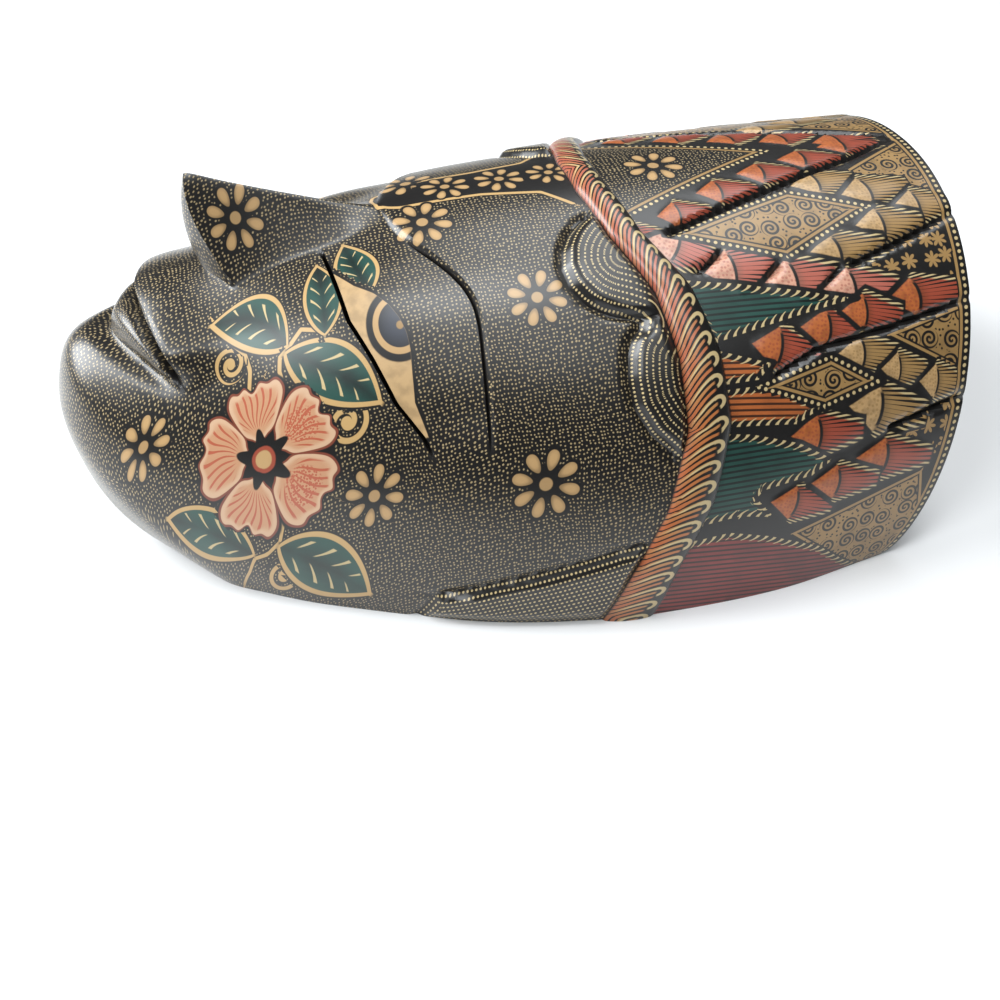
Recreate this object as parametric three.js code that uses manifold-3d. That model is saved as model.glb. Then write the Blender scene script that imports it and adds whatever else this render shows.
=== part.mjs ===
// A carved and painted wooden face mask, lying face up on the rim of its hollow back.
//
// One block of light wood is carved outside into a long face with a fin nose, slit eyes,
// curls of hair and a tall crown behind a twisted band, and scooped out behind for the
// wearer's face.
//
// Millimetres. +X points from the chin to the crown, +Z out of the face, and -Y to the
// mask's own left. The origin is at the middle of the rim plane the mask rests on.

import * as THREE from "three";
import Module from "manifold-3d";

// Sections from chin to crown, all landing on the rim plane. Each is an arch given by
// ridge x, ridge z, rim x, rim half width, how squarely the arch leans forward and how
// full it is between ridge and rim, 2 being an ellipse.
const OUTSIDE = [
  [-108.3, 0, -105.5, 9.4, 1, 2],
  [-116.5, 15, -100.2, 20, 1, 2],
  [-120, 31, -93, 29.6, 1, 2],
  [-119.8, 46, -85.7, 39, 1, 1.96],
  [-112.6, 57, -76, 45.4, 1, 1.92],
  [-100.2, 65, -64, 52.3, 1, 1.88],
  [-85.7, 73, -51, 58.4, 1, 1.86],
  [-67.9, 80, -35.9, 65, 1, 1.86],
  [-43.4, 85.3, -18.1, 71.9, 1, 1.88],
  [-15.2, 88, 2.6, 77.1, 1, 1.92],
  [18.6, 88.6, 25.2, 80.4, 1, 1.98],
  [62.8, 88.8, 60.9, 80.8, 0.75, 2.08],
  [120.6, 88, 93.8, 76, 0.53, 2.1],
];

// The scooped hollow, in the same form. The wall left is 9 to 12 mm, thicker at the chin.
const HOLLOW = [
  [-95, 0, -93, 5, 1, 2],
  [-97.5, 20, -88, 17, 1, 2],
  [-95, 38, -80, 27.5, 1, 1.9],
  [-86, 50, -68, 36, 1, 1.88],
  [-70, 60, -52, 45, 1, 1.86],
  [-46, 68, -30, 55, 1, 1.88],
  [-14, 75, -4, 64, 1, 1.94],
  [28, 77, 28, 70, 1, 2],
  [70, 76.5, 62, 70, 0.8, 2.1],
  [104, 75, 80, 65, 0.5, 2.1],
];

const DEG = Math.PI / 180;

// The end walls lean in below the crown's edge: foot position at the middle and its bow.
const CROWN_FOOT = { x: 108, halfWidth: 76, cornerX: 93.8 };
const HOLLOW_FOOT = { x: 95, halfWidth: 65, cornerX: 80 };

// Nose fin: height over the face at its front, and half width in degrees of arch.
const NOSE = { height: 24, front: 6.55, back: 8.6, frontHalf: 15.5, backHalf: 5, wing: 0.5 };

// Mouth, chin and brow reliefs, mm.
const MOUTH = { corner: 33, lipWidth: 8.5, upper: 4.8, lower: 2.2, line: 1.8, under: 2.2, chin: 2.8 };
const STATION_SPAN = 13;
const BROW_STEP = 1.4;
const HAIR_RISE = 2.2;
const BAND_RISE = 2.4;
const SIDEBURN_RISE = 1.6;

// Edges that run round the arch: [degrees from the ridge, x].
const BROW_EDGE = [[0, -31], [10, -28], [21, -18], [26, -13.5], [38, -14.3], [56, -16]];
const HAIR_EDGE = [
  [0, 40], [12, 24], [14, 18], [17, 14], [20, 11.5], [24, 10], [28, 10.8], [31.5, 13.9],
  [34, 19], [35.5, 26], [37, 25.5], [38.5, 23], [41, 21.4], [45, 20.3], [50, 20.5],
  [55, 24], [61, 32], [64, 44], [90, 44],
];
const SIDEBURN_EDGE = [[0, 60], [73, 40], [74.2, 15], [76.5, 0], [79, -17], [82.2, -33], [90, -38]];
const BAND_MIDDLE = [[0, 25], [6, 25], [19, 28.5], [31, 36], [43, 39], [55, 39], [68, 33], [79, 24], [90, 17]];
const BAND_HALF = [[0, 4.2], [20, 4.4], [45, 5.6], [60, 6], [75, 6.4], [90, 7]];

// Straight-sided cuts: points along each as [x, degrees from the ridge], half width, depth.
const CUTS = [
  { points: [[39, 19.5], [75, 11.2], [98, 6], [116, 1.5]], half: 1.1, depth: 2.2 },
  { points: [[85, 31.2], [101, 27.8], [117, 24.5]], half: 1.1, depth: 2.2 },
  { points: [[57, 47.8], [75, 45.2], [96, 43.6], [115, 41.5]], half: 1.1, depth: 2.2 },
  { points: [[88, 62], [110, 60]], half: 1, depth: 2 },
  { points: [[-47, 10.5], [-45.3, 20], [-44, 28], [-40, 36], [-36.5, 44], [-31.2, 50.6]], half: 1, depth: 4 },
];

const CUT_STEP = 8;

const wasm = await Module();
wasm.setup();

// A value between the rows of a table whose first column is the position.
function lookUp(table, position) {
  let row = 1;
  while (row < table.length - 1 && table[row][0] < position) row += 1;
  const [x0, y0] = table[row - 1];
  const [x1, y1] = table[row];
  return THREE.MathUtils.lerp(y0, y1, THREE.MathUtils.clamp((position - x0) / (x1 - x0), 0, 1));
}

// The section at a station between the listed ones, on a smooth curve through them.
function sectionAt(sections, station) {
  const last = sections.length - 1;
  const k = Math.min(Math.floor(station), last - 1);
  const f = station - k;
  const at = (i) => {
    if (i < 0) return sections[0].map((v, c) => 2 * v - sections[1][c]);
    if (i > last) return sections[last].map((v, c) => 2 * v - sections[last - 1][c]);
    return sections[i];
  };
  const [a, b, c, d] = [at(k - 1), at(k), at(k + 1), at(k + 2)];
  return b.map((v, i) => {
    const bend = 2 * a[i] - 5 * v + 4 * c[i] - d[i];
    const twist = 3 * v - a[i] - 3 * c[i] + d[i];
    return v + 0.5 * f * (c[i] - a[i] + f * (bend + f * twist));
  });
}

// The smooth arch, before any carving. The angle runs from -90 to 90 degrees over it.
function archPoint(sections, station, angle) {
  const [ridgeX, ridgeZ, rimX, halfWidth, lean, fullness] = sectionAt(sections, station);
  const onRim = Math.abs(angle) > 89.999;
  const up = onRim ? 0 : Math.cos(angle * DEG) ** (2 / fullness);
  const side = Math.sign(angle) * Math.abs(Math.sin(angle * DEG)) ** (2 / fullness);
  return new THREE.Vector3(rimX + (ridgeX - rimX) * up ** lean, halfWidth * side, ridgeZ * up);
}

function archNormal(sections, station, angle) {
  const step = 0.02;
  const low = Math.max(station - step, 0);
  const high = Math.min(station + step, sections.length - 1);
  const left = Math.max(angle - 0.5, -89.9);
  const right = Math.min(angle + 0.5, 89.9);
  const along = archPoint(sections, high, angle).sub(archPoint(sections, low, angle));
  const across = archPoint(sections, station, right).sub(archPoint(sections, station, left));
  return along.cross(across).normalize();
}

// The station where the arch at this angle reaches a given x, towards the crown.
function stationAt(x, angle) {
  let low = 6;
  let high = 12;
  for (let i = 0; i < 30; i += 1) {
    const middle = (low + high) / 2;
    if (archPoint(OUTSIDE, middle, angle).x < x) low = middle;
    else high = middle;
  }
  return (low + high) / 2;
}

const rise = (from, to, value) => THREE.MathUtils.smoothstep(value, from, to);
const bump = (distance, width) => Math.exp(-((distance / width) ** 2));

// The station of the line where the lips meet, and the lower lip's width in mm.
const mouthLine = (away) => 5.45 + 0.15 * Math.min(1, away / 30);
const lowerLip = (away) => MOUTH.lipWidth * Math.max(0.06, 1 - (away / MOUTH.corner) ** 1.5);

// Lips and chin: distances along the face from the line where the lips meet.
function mouthRelief(station, away) {
  const along = (station - mouthLine(away)) * STATION_SPAN;
  const fade = 1 - rise(MOUTH.corner - 9, MOUTH.corner, away);
  const lowerWidth = lowerLip(away);
  let height = -MOUTH.line * fade * bump(along, 1.1);
  if (along > 0) height += MOUTH.upper * fade * rise(0, 1.8, along) * bump(along, 9.5);
  const q = -along / lowerWidth;
  if (q > 0 && q < 1) height += MOUTH.lower * fade * Math.sin(Math.PI * q) ** 0.8;
  height -= MOUTH.under * (1 - rise(20, 36, away)) * bump(along + lowerWidth + 1, 2.6);
  height += MOUTH.chin * bump(station - 4.05, 0.62) * bump(away, 24);
  return height;
}

// The forehead stands a little over the eyes, with a fine groove at the step.
function browRelief(x, away) {
  const fade = 1 - rise(46, 56, away);
  const ahead = x - lookUp(BROW_EDGE, away);
  const sunk = ahead < 0 ? bump(ahead, 17) : 1 - rise(0, 1.2, ahead);
  const socket = 1.6 * bump(x + 42, 12) * bump(away - 11, 7);
  return -BROW_STEP * fade * sunk - socket;
}

// Curls of hair swell up behind their edge and end under the band.
function hairRelief(x, away) {
  const slope = (lookUp(HAIR_EDGE, away + 0.5) - lookUp(HAIR_EDGE, away - 0.5)) / 1.45;
  const inside = (x - lookUp(HAIR_EDGE, away)) / Math.hypot(1, slope);
  const swell = inside > 0 ? HAIR_RISE * (1 - Math.exp(-((inside / 3) ** 2))) : 0;
  return swell - 1.2 * bump(inside, 1.3);
}

function sideburnRelief(x, away) {
  const slope = (lookUp(SIDEBURN_EDGE, away + 0.5) - lookUp(SIDEBURN_EDGE, away - 0.5)) / 1.45;
  const inside = (x - lookUp(SIDEBURN_EDGE, away)) / Math.hypot(1, slope);
  const swell = inside > 0 ? SIDEBURN_RISE * (1 - Math.exp(-((inside / 3) ** 2))) : 0;
  return swell * (1 - rise(86, 90, away)) - 0.8 * bump(inside, 1.3);
}

// Height of the carving over the smooth arch at one place.
function relief(station, angle, x) {
  const away = Math.abs(angle);
  const band = (x - lookUp(BAND_MIDDLE, away)) / lookUp(BAND_HALF, away);
  const bandRise = BAND_RISE * (1 - 0.5 * rise(78, 90, away));
  const raised = Math.abs(band) < 1 ? bandRise * Math.sqrt(1 - band * band) : 0;
  const face = band < 0 ? Math.max(hairRelief(x, away), -2) + sideburnRelief(x, away) : 0;
  const faded = face * rise(0, 0.5, Math.abs(band) - 0.9);
  return mouthRelief(station, away) + browRelief(x, away) + faded + raised;
}

// The station of the nose's front edge, which sweeps back from the tip to the wings.
const noseFront = (away) => NOSE.front + NOSE.wing * (1 - bump(away, 14));

// The nose is a fin: a sharp ridge falling from the tip to the brow, with straight sides.
function noseHeight(station, away) {
  const back = THREE.MathUtils.clamp((station - NOSE.front) / (NOSE.back - NOSE.front), 0, 1);
  const half = THREE.MathUtils.lerp(NOSE.frontHalf, NOSE.backHalf, back);
  const side = Math.max(0, 1 - away / half) ** 1.12;
  return NOSE.height * (1 - back) ** 1.25 * side;
}

// The rows of the outside follow its carved lines: lip, mouth, nose front, brow and band.
const ROWS_TO_LINE = [0, 11, 15, 20, 24, 32, 44, 48, 58];

function carvedLines(away) {
  const mouth = mouthLine(away);
  const front = noseFront(away);
  const middle = lookUp(BAND_MIDDLE, away);
  const half = lookUp(BAND_HALF, away);
  return [
    0,
    mouth - Math.max(lowerLip(away) + 1, 6) / STATION_SPAN,
    mouth,
    front,
    front + 0.015 + 0.4 * rise(11, 26, away),
    stationAt(lookUp(BROW_EDGE, away), away),
    stationAt(middle - half, away),
    stationAt(middle + half, away),
    OUTSIDE.length - 1,
  ];
}

// The stations of all rows at one angle, and how much of the nose each row carries.
function rowPlaces(away) {
  const lines = carvedLines(away);
  return spread(ROWS_TO_LINE.at(-1), 0, ROWS_TO_LINE.at(-1)).map((row) => {
    const station = lookUp(ROWS_TO_LINE.map((r, i) => [r, lines[i]]), row);
    const lift = (row - ROWS_TO_LINE[3]) / (ROWS_TO_LINE[4] - ROWS_TO_LINE[3]);
    return { station, lift: THREE.MathUtils.clamp(lift, 0, 1) };
  });
}

function outsidePoint({ station, lift }, angle) {
  const away = Math.abs(angle);
  const place = archPoint(OUTSIDE, station, angle);
  const normal = archNormal(OUTSIDE, station, angle);
  const height = relief(station, angle, place.x);
  const point = place.clone().addScaledVector(normal, height);
  if (away > 89.999 || station === 0) point.z = 0;
  point.z = Math.max(0, point.z) + noseHeight(station, away) * lift;
  return point;
}

// The rows of an end wall drop straight from the last arch row to its foot on z = 0.
function wallPoint(edge, foot, drop) {
  const bow = 1 - (edge.y / foot.halfWidth) ** 2;
  const footX = foot.cornerX + (foot.x - foot.cornerX) * Math.max(0, bow);
  return new THREE.Vector3(THREE.MathUtils.lerp(edge.x, footX, drop), edge.y, edge.z * (1 - drop));
}

// A closed solid from rows of points that all start and end on z = 0, with its flat bottom.
function closeRows(rows, floor) {
  const points = [];
  const index = rows.map((row) => row.map((p) => points.push(p.clone().setZ(Math.max(p.z, 0))) - 1));
  const triangles = [];
  const width = rows[0].length;
  for (let r = 0; r + 1 < rows.length; r += 1) {
    for (let c = 0; c + 1 < width; c += 1) {
      const [a, b, d, e] = [index[r][c], index[r][c + 1], index[r + 1][c], index[r + 1][c + 1]];
      triangles.push([a, d, b], [b, d, e]);
    }
  }
  const right = index.map((row) => row[width - 1]);
  const left = index.map((row) => row[0]);
  const loop = [...index[0], ...right.slice(1), ...index.at(-1).slice(1, -1).reverse(), ...left.slice(1).reverse()];
  const outline = loop.map((i) => new THREE.Vector2(points[i].x, points[i].y));
  const under = THREE.ShapeUtils.triangulateShape(outline, []);
  const flip = under.length && THREE.ShapeUtils.isClockWise(under[0].map((i) => outline[i]));
  for (const [i, j, k] of under) triangles.push(flip ? [loop[i], loop[j], loop[k]] : [loop[i], loop[k], loop[j]]);
  loop.forEach((i) => { points[i].z = floor; });
  return solid(points, triangles);
}

// A solid from points and triangles, with points at the same place joined.
function solid(points, triangles) {
  const places = new Map();
  const kept = [];
  const joined = points.map((p) => {
    const key = [p.x, p.y, p.z].map((v) => Math.round(v * 2000)).join();
    if (!places.has(key)) places.set(key, kept.push(p.x, p.y, p.z) / 3 - 1);
    return places.get(key);
  });
  const corners = triangles.map((t) => t.map((i) => joined[i]));
  const whole = corners.filter(([a, b, c]) => a !== b && b !== c && a !== c);
  const mesh = new wasm.Mesh({
    numProp: 3,
    vertProperties: new Float32Array(kept),
    triVerts: new Uint32Array(whole.flat()),
  });
  return new wasm.Manifold(mesh);
}

const spread = (count, from, to) => Array.from({ length: count + 1 }, (_, i) => from + ((to - from) * i) / count);

function outsideSolid() {
  const angles = spread(48, -90, 90);
  const columns = angles.map((angle) => rowPlaces(Math.abs(angle)).map((place) => outsidePoint(place, angle)));
  const rows = columns[0].map((_, row) => columns.map((column) => column[row]));
  const edge = rows.at(-1);
  for (const drop of [0.33, 0.67, 1]) rows.push(edge.map((p) => wallPoint(p, CROWN_FOOT, drop)));
  return closeRows(rows, 0);
}

function hollowSolid() {
  const angles = spread(24, -90, 90);
  const rows = spread(22, 0, HOLLOW.length - 1).map((station) =>
    angles.map((angle) => archPoint(HOLLOW, station, angle)));
  const edge = rows.at(-1);
  for (const drop of [0.5, 1]) rows.push(edge.map((p) => wallPoint(p, HOLLOW_FOOT, drop)));
  return closeRows(rows, -1);
}

// A V-shaped cutter along a line on the outside, mirrored by the sign of `side`.
function cutterSolid({ points, half, depth }, side) {
  const path = points.slice(1).flatMap(([x, away], i) => {
    const [fromX, fromAway] = points[i];
    const steps = Math.ceil(Math.hypot(x - fromX, 1.5 * (away - fromAway)) / CUT_STEP);
    const part = spread(steps, 0, 1).map((f) => [fromX + f * (x - fromX), fromAway + f * (away - fromAway)]);
    return i === 0 ? part : part.slice(1);
  });
  const places = path.map(([x, away]) => {
    const station = stationAt(x, side * away);
    const place = archPoint(OUTSIDE, station, side * away);
    const normal = archNormal(OUTSIDE, station, side * away);
    return { normal, place: place.addScaledVector(normal, relief(station, side * away, x)) };
  });
  const lengthwise = places.map((_, i) =>
    places[Math.min(i + 1, places.length - 1)].place.clone().sub(places[Math.max(i - 1, 0)].place));
  const corners = places.flatMap(({ place, normal }, i) => {
    const across = normal.clone().cross(lengthwise[i]).normalize();
    const ends = i === 0 || i === places.length - 1;
    const top = place.clone().addScaledVector(normal, 1.5);
    const reach = half * (ends ? 0.5 : 1.6);
    return [
      place.clone().addScaledVector(normal, ends ? -0.4 * depth : -depth),
      top.clone().addScaledVector(across, reach),
      top.clone().addScaledVector(across, -reach),
    ];
  });
  const triangles = [[0, 2, 1]];
  for (let i = 0; i + 1 < places.length; i += 1) {
    for (let c = 0; c < 3; c += 1) {
      const [a, b] = [3 * i + c, 3 * i + ((c + 1) % 3)];
      triangles.push([a, b, b + 3], [a, b + 3, a + 3]);
    }
  }
  const last = 3 * (places.length - 1);
  triangles.push([last, last + 1, last + 2]);
  return solid(corners, triangles);
}

function carvedMask() {
  let mask = outsideSolid().subtract(hollowSolid());
  for (const cut of CUTS) {
    for (const side of [-1, 1]) mask = mask.subtract(cutterSolid(cut, side));
  }
  const { vertProperties, triVerts } = mask.getMesh();
  const geometry = new THREE.BufferGeometry();
  geometry.setAttribute("position", new THREE.BufferAttribute(vertProperties, 3));
  geometry.setIndex(new THREE.BufferAttribute(triVerts, 1));
  geometry.computeVertexNormals();
  return geometry;
}

const lacqueredWood = new THREE.MeshStandardMaterial({ color: 0x1d1a19, roughness: 0.35, metalness: 0 });

const maskMesh = new THREE.Mesh(carvedMask(), lacqueredWood);
maskMesh.name = "carved_mask";

const mask = new THREE.Group();
mask.add(maskMesh);

export default mask;
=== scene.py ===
"""A carved wooden face mask with its painted finish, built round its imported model."""

import math

import bpy
import numpy as np
from bpy.props import FloatProperty, FloatVectorProperty, PointerProperty
from bpy.types import Operator, Panel, PropertyGroup
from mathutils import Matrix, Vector


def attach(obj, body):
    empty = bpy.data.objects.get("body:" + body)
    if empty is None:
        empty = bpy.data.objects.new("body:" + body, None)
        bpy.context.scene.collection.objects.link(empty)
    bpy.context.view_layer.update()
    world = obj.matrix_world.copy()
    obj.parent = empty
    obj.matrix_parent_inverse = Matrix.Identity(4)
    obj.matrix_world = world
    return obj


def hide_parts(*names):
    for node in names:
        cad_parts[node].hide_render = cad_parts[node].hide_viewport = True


bl_info = {
    "name": "Batik painted mask",
    "version": (1, 0, 0),
    "blender": (4, 5, 0),
    "location": "3D View > Sidebar > Mask",
    "description": "Carves a wooden face mask and paints it with dots, flowers, leaves and feathers",
    "category": "Object",
}

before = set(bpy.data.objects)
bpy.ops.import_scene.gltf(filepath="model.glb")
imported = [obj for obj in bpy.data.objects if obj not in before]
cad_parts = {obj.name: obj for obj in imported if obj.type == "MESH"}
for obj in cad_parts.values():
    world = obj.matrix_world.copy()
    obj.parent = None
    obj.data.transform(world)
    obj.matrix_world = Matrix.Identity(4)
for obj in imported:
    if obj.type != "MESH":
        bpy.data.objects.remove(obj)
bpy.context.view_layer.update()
MASK = "painted_mask"
MM = 0.001

# Sections across the outside, from chin to crown, in millimetres:
# ridge x, ridge z, rim x, half width, lean, fullness.
OUTSIDE = np.array((
    (-108.3, 0, -105.5, 9.4, 1, 2),
    (-116.5, 15, -100.2, 20, 1, 2),
    (-120, 31, -93, 29.6, 1, 2),
    (-119.8, 46, -85.7, 39, 1, 1.96),
    (-112.6, 57, -76, 45.4, 1, 1.92),
    (-100.2, 65, -64, 52.3, 1, 1.88),
    (-85.7, 73, -51, 58.4, 1, 1.86),
    (-67.9, 80, -35.9, 65, 1, 1.86),
    (-43.4, 85.3, -18.1, 71.9, 1, 1.88),
    (-15.2, 88, 2.6, 77.1, 1, 1.92),
    (18.6, 88.6, 25.2, 80.4, 1, 1.98),
    (62.8, 88.8, 60.9, 80.8, 0.75, 2.08),
    (120.6, 88, 93.8, 76, 0.53, 2.1),
))
# The scooped hollow behind, in the same form.
HOLLOW = np.array((
    (-95, 0, -93, 5, 1, 2),
    (-97.5, 20, -88, 17, 1, 2),
    (-95, 38, -80, 27.5, 1, 1.9),
    (-86, 50, -68, 36, 1, 1.88),
    (-70, 60, -52, 45, 1, 1.86),
    (-46, 68, -30, 55, 1, 1.88),
    (-14, 75, -4, 64, 1, 1.94),
    (28, 77, 28, 70, 1, 2),
    (70, 76.5, 62, 70, 0.8, 2.1),
    (104, 75, 80, 65, 0.5, 2.1),
))
STATION_SPAN = 13.0
LAST_STATION = len(OUTSIDE) - 1
RIM_ANGLE = 89.999
CROWN_FOOT = {"middle": 108.0, "corner": 93.8, "half": 76.0}
HOLLOW_FOOT = {"middle": 95.0, "corner": 80.0, "half": 65.0}
NOSE = {"height": 24.0, "front": 6.55, "back": 8.6, "front_half": 15.5, "back_half": 5.0, "wing": 0.5,
        "round": 0.12, "bulge": 2.2}
MOUTH = {"corner": 33.0, "lip": 8.5, "upper": 4.8, "lower": 2.2, "line": 1.8, "under": 2.2, "chin": 2.8}

# Carved edges as (degrees from the ridge, x).
BROW_EDGE = ((0, -31), (10, -28), (15, -23.8), (19, -19.8), (22, -17), (24.5, -15), (27, -13.7), (30, -13.1),
             (34, -13.3), (38, -13.9), (47, -15), (56, -16))
HAIR_EDGE = ((0, 40), (12, 24), (14, 18), (17, 14), (20, 11.5), (24, 10), (28, 10.8), (31.5, 13.9),
             (34, 19), (35.5, 26), (37, 25.5), (38.5, 23), (41, 21.4), (45, 20.3), (50, 20.5),
             (55, 24), (61, 32), (64, 44), (90, 44))
SIDEBURN_EDGE = ((0, 60), (73, 40), (74.2, 15), (76.5, 0), (79, -17), (82.2, -33), (90, -38))
BAND_MIDDLE = ((0, 25), (6, 25), (19, 28.5), (31, 36), (43, 39), (55, 39), (68, 33), (79, 24), (90, 17))
BAND_HALF = ((0, 4.2), (20, 4.4), (45, 5.6), (60, 6), (75, 6.4), (90, 7))
SLIT_LINE = ((0, -48.5), (10.5, -47), (20, -45.3), (28, -44), (36, -40), (44, -36.5), (50.6, -31.2),
             (60, -27), (90, -20))
SLIT_ENDS = (9.0, 13.0, 48.0, 55.0)
BROW_LINE_DEPTH = 0.7
BROW_LINE_ENDS = (12, 17, 50, 56)
CUT_HALF, NOTCH_HALF = 1.5, 1.2
# Cuts between the rows of feathers: (x, distance from the ridge).
CROWN_CUTS = (
    ((38.1, 28.8), (75.1, 16.5), (98.6, 8.6), (117.1, 0.7)),
    ((83.3, 45.4), (101.6, 39.4), (120.3, 33)),
    ((56.4, 71.2), (70.4, 65.5), (92.1, 62.4), (117.7, 57.4)),
    ((87.8, 89.1), (111.9, 83.3)),
)
CROWN_NOTCHES = (((41.9, 41.2), (52.8, 36.7)), ((60.2, 46.3), (66.3, 42.2)), ((75.8, 49.8), (82.4, 44.8)))

ROWS_TO_LINE = (0, 50, 64, 88, 112, 138, 139, 140, 162, 163, 164, 200, 214, 230, 334)
NOSE_WALL_ROWS = (88, 112)
WALL_ROWS = 12
COLUMNS = 256
NOSE_REACH = 30.0
HOLLOW_MARK = -5.0
HOLLOW_ROWS, HOLLOW_WALL_ROWS, HOLLOW_COLUMNS = 60, 8, 48


# ---------------------------------------------------------------- the carved shape

def look_up(table, position):
    """The value of a table of (position, value) pairs at a position."""
    table = np.array(table, float)
    return np.interp(position, table[:, 0], table[:, 1])


def rise(low, high, value):
    """A smooth step from 0 at low to 1 at high."""
    part = np.clip((value - low) / (high - low), 0, 1)
    return part * part * (3 - 2 * part)


def bump(distance, width):
    return np.exp(-(distance / width) ** 2)


def plateau(value, low, low_full, high_full, high):
    """1 between two smooth steps."""
    return rise(low, low_full, value) * (1 - rise(high_full, high, value))


def band_place(x, away):
    """Place across the band: -1 at its face side and 1 at its crown side."""
    return (x - look_up(BAND_MIDDLE, away)) / look_up(BAND_HALF, away)


def place_between(start, end, x, y):
    """Distances along the line from a start to an end, and to its left."""
    length = math.dist(start, end)
    ux, uy = (end[0] - start[0]) / length, (end[1] - start[1]) / length
    dx, dy = x - start[0], y - start[1]
    return dx * ux + dy * uy, dy * ux - dx * uy


def section_at(sections, station):
    """The sections blended smoothly at fractional stations."""
    index = np.minimum(np.floor(station).astype(int), len(sections) - 2)
    part = (station - index)[..., None]
    padded = np.vstack((2 * sections[0] - sections[1], sections, 2 * sections[-1] - sections[-2]))
    a, b, c, d = (padded[index + i] for i in range(4))
    return b + 0.5 * part * (c - a + part * (2 * a - 5 * b + 4 * c - d + part * (3 * b - a - 3 * c + d)))


def arch(sections, station, angle):
    """Points on the smooth arch, by station from the chin and degrees from the ridge."""
    ridge_x, ridge_z, rim_x, half, lean, full = np.moveaxis(section_at(sections, station), -1, 0)
    turn = np.radians(angle)
    up = np.where(np.abs(angle) > RIM_ANGLE, 0, np.abs(np.cos(turn)) ** (2 / full))
    side = np.sign(angle) * np.abs(np.sin(turn)) ** (2 / full)
    return np.stack((rim_x + (ridge_x - rim_x) * up ** lean, half * side, ridge_z * up), -1)


def arch_normal(sections, station, angle):
    last = len(sections) - 1
    chin, crown = np.maximum(station - 0.02, 0), np.minimum(station + 0.02, last)
    left, right = np.maximum(angle - 0.5, -89.9), np.minimum(angle + 0.5, 89.9)
    lengthwise = arch(sections, crown, angle) - arch(sections, chin, angle)
    across = arch(sections, station, right) - arch(sections, station, left)
    normal = np.cross(lengthwise, across)
    return normal / np.linalg.norm(normal, axis=-1, keepdims=True)


def station_at(x, away):
    """The station where the arch reaches x, at an angle from the ridge."""
    low, high = np.full(np.shape(away), LAST_STATION / 2), np.full(np.shape(away), float(LAST_STATION))
    for _ in range(30):
        middle = (low + high) / 2
        short = arch(OUTSIDE, middle, away)[..., 0] < x
        low, high = np.where(short, middle, low), np.where(short, high, middle)
    return (low + high) / 2


def brow_line(away):
    """The brow's carved edge, with its corners rounded."""
    return sum(look_up(BROW_EDGE, away + shift) for shift in (-3, -2, -1, 0, 1, 2, 3)) / 7


def mouth_line(away):
    return 5.45 + 0.15 * np.minimum(1, away / 30)


def lower_lip(away):
    return MOUTH["lip"] * np.maximum(0.06, 1 - (away / MOUTH["corner"]) ** 1.5)


def mouth_relief(station, away):
    along = (station - mouth_line(away)) * STATION_SPAN
    fade = 1 - rise(MOUTH["corner"] - 9, MOUTH["corner"], away)
    height = -MOUTH["line"] * fade * bump(along, 1.1)
    upper = MOUTH["upper"] * fade * rise(0, 1.8, along) * bump(along, 9.5)
    height = height + np.where(along > 0, upper, 0)
    height = height + MOUTH["lower"] * fade * np.sin(np.pi * np.clip(-along / lower_lip(away), 0, 1)) ** 0.8
    height = height - MOUTH["under"] * (1 - rise(20, 36, away)) * bump(along + lower_lip(away) + 1, 2.6)
    return height + MOUTH["chin"] * bump(station - 4.05, 0.62) * bump(away, 24)


def brow_relief(x, away, step):
    fade = 1 - rise(46, 56, away)
    ahead = x - brow_line(away)
    sunk = np.where(ahead < 0, bump(ahead, 17), 1 - rise(0, 1.2, ahead))
    fade = fade * (0.5 + 0.5 * rise(4, 16, away))
    return -step * fade * sunk - 1.6 * bump(x + 42, 12) * bump(away - 11, 7)


def swell(x, away, edge, height, crease):
    """A form that swells up behind a carved edge, with a crease along the edge."""
    slope = (look_up(edge, away + 0.5) - look_up(edge, away - 0.5)) / 1.45
    inside = (x - look_up(edge, away)) / np.hypot(1, slope)
    raised = np.where(inside > 0, height * (1 - np.exp(-(inside / 2.2) ** 2)), 0)
    return raised, -crease * bump(inside, 1.3)


def carved_relief(station, angle, x, carving):
    away = np.abs(angle)
    band = band_place(x, away)
    raised = carving.band_rise / MM * (1 - 0.5 * rise(78, 90, away)) * np.sqrt(np.clip(1 - band * band, 0, 1))
    hair, hair_crease = swell(x, away, HAIR_EDGE, carving.hair_rise / MM, 1.2)
    side, side_crease = swell(x, away, SIDEBURN_EDGE, carving.sideburn_rise / MM, 0.8)
    side = side * (1 - rise(86, 90, away))
    face = np.where(band < 0, hair + hair_crease + side + side_crease, 0)
    brow = brow_relief(x, away, carving.brow_step / MM)
    return mouth_relief(station, away) + brow + face * rise(0, 0.5, np.abs(band) - 0.9) + raised


def nose_front(away):
    return NOSE["front"] + NOSE["wing"] * (1 - bump(away, 14))


def nose_height(station, away):
    back = np.clip((station - NOSE["front"]) / (NOSE["back"] - NOSE["front"]), 0, 1)
    half = NOSE["front_half"] + (NOSE["back_half"] - NOSE["front_half"]) * back
    round_off = NOSE["round"]
    back = (np.hypot(back, round_off / 2) - round_off / 2) / (math.hypot(1, round_off / 2) - round_off / 2)
    aside = (np.hypot(away / half, round_off) - round_off) / (math.hypot(1, round_off) - round_off)
    return NOSE["height"] * (1 - back) ** 1.25 * np.maximum(0, 1 - aside) ** 1.12


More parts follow.
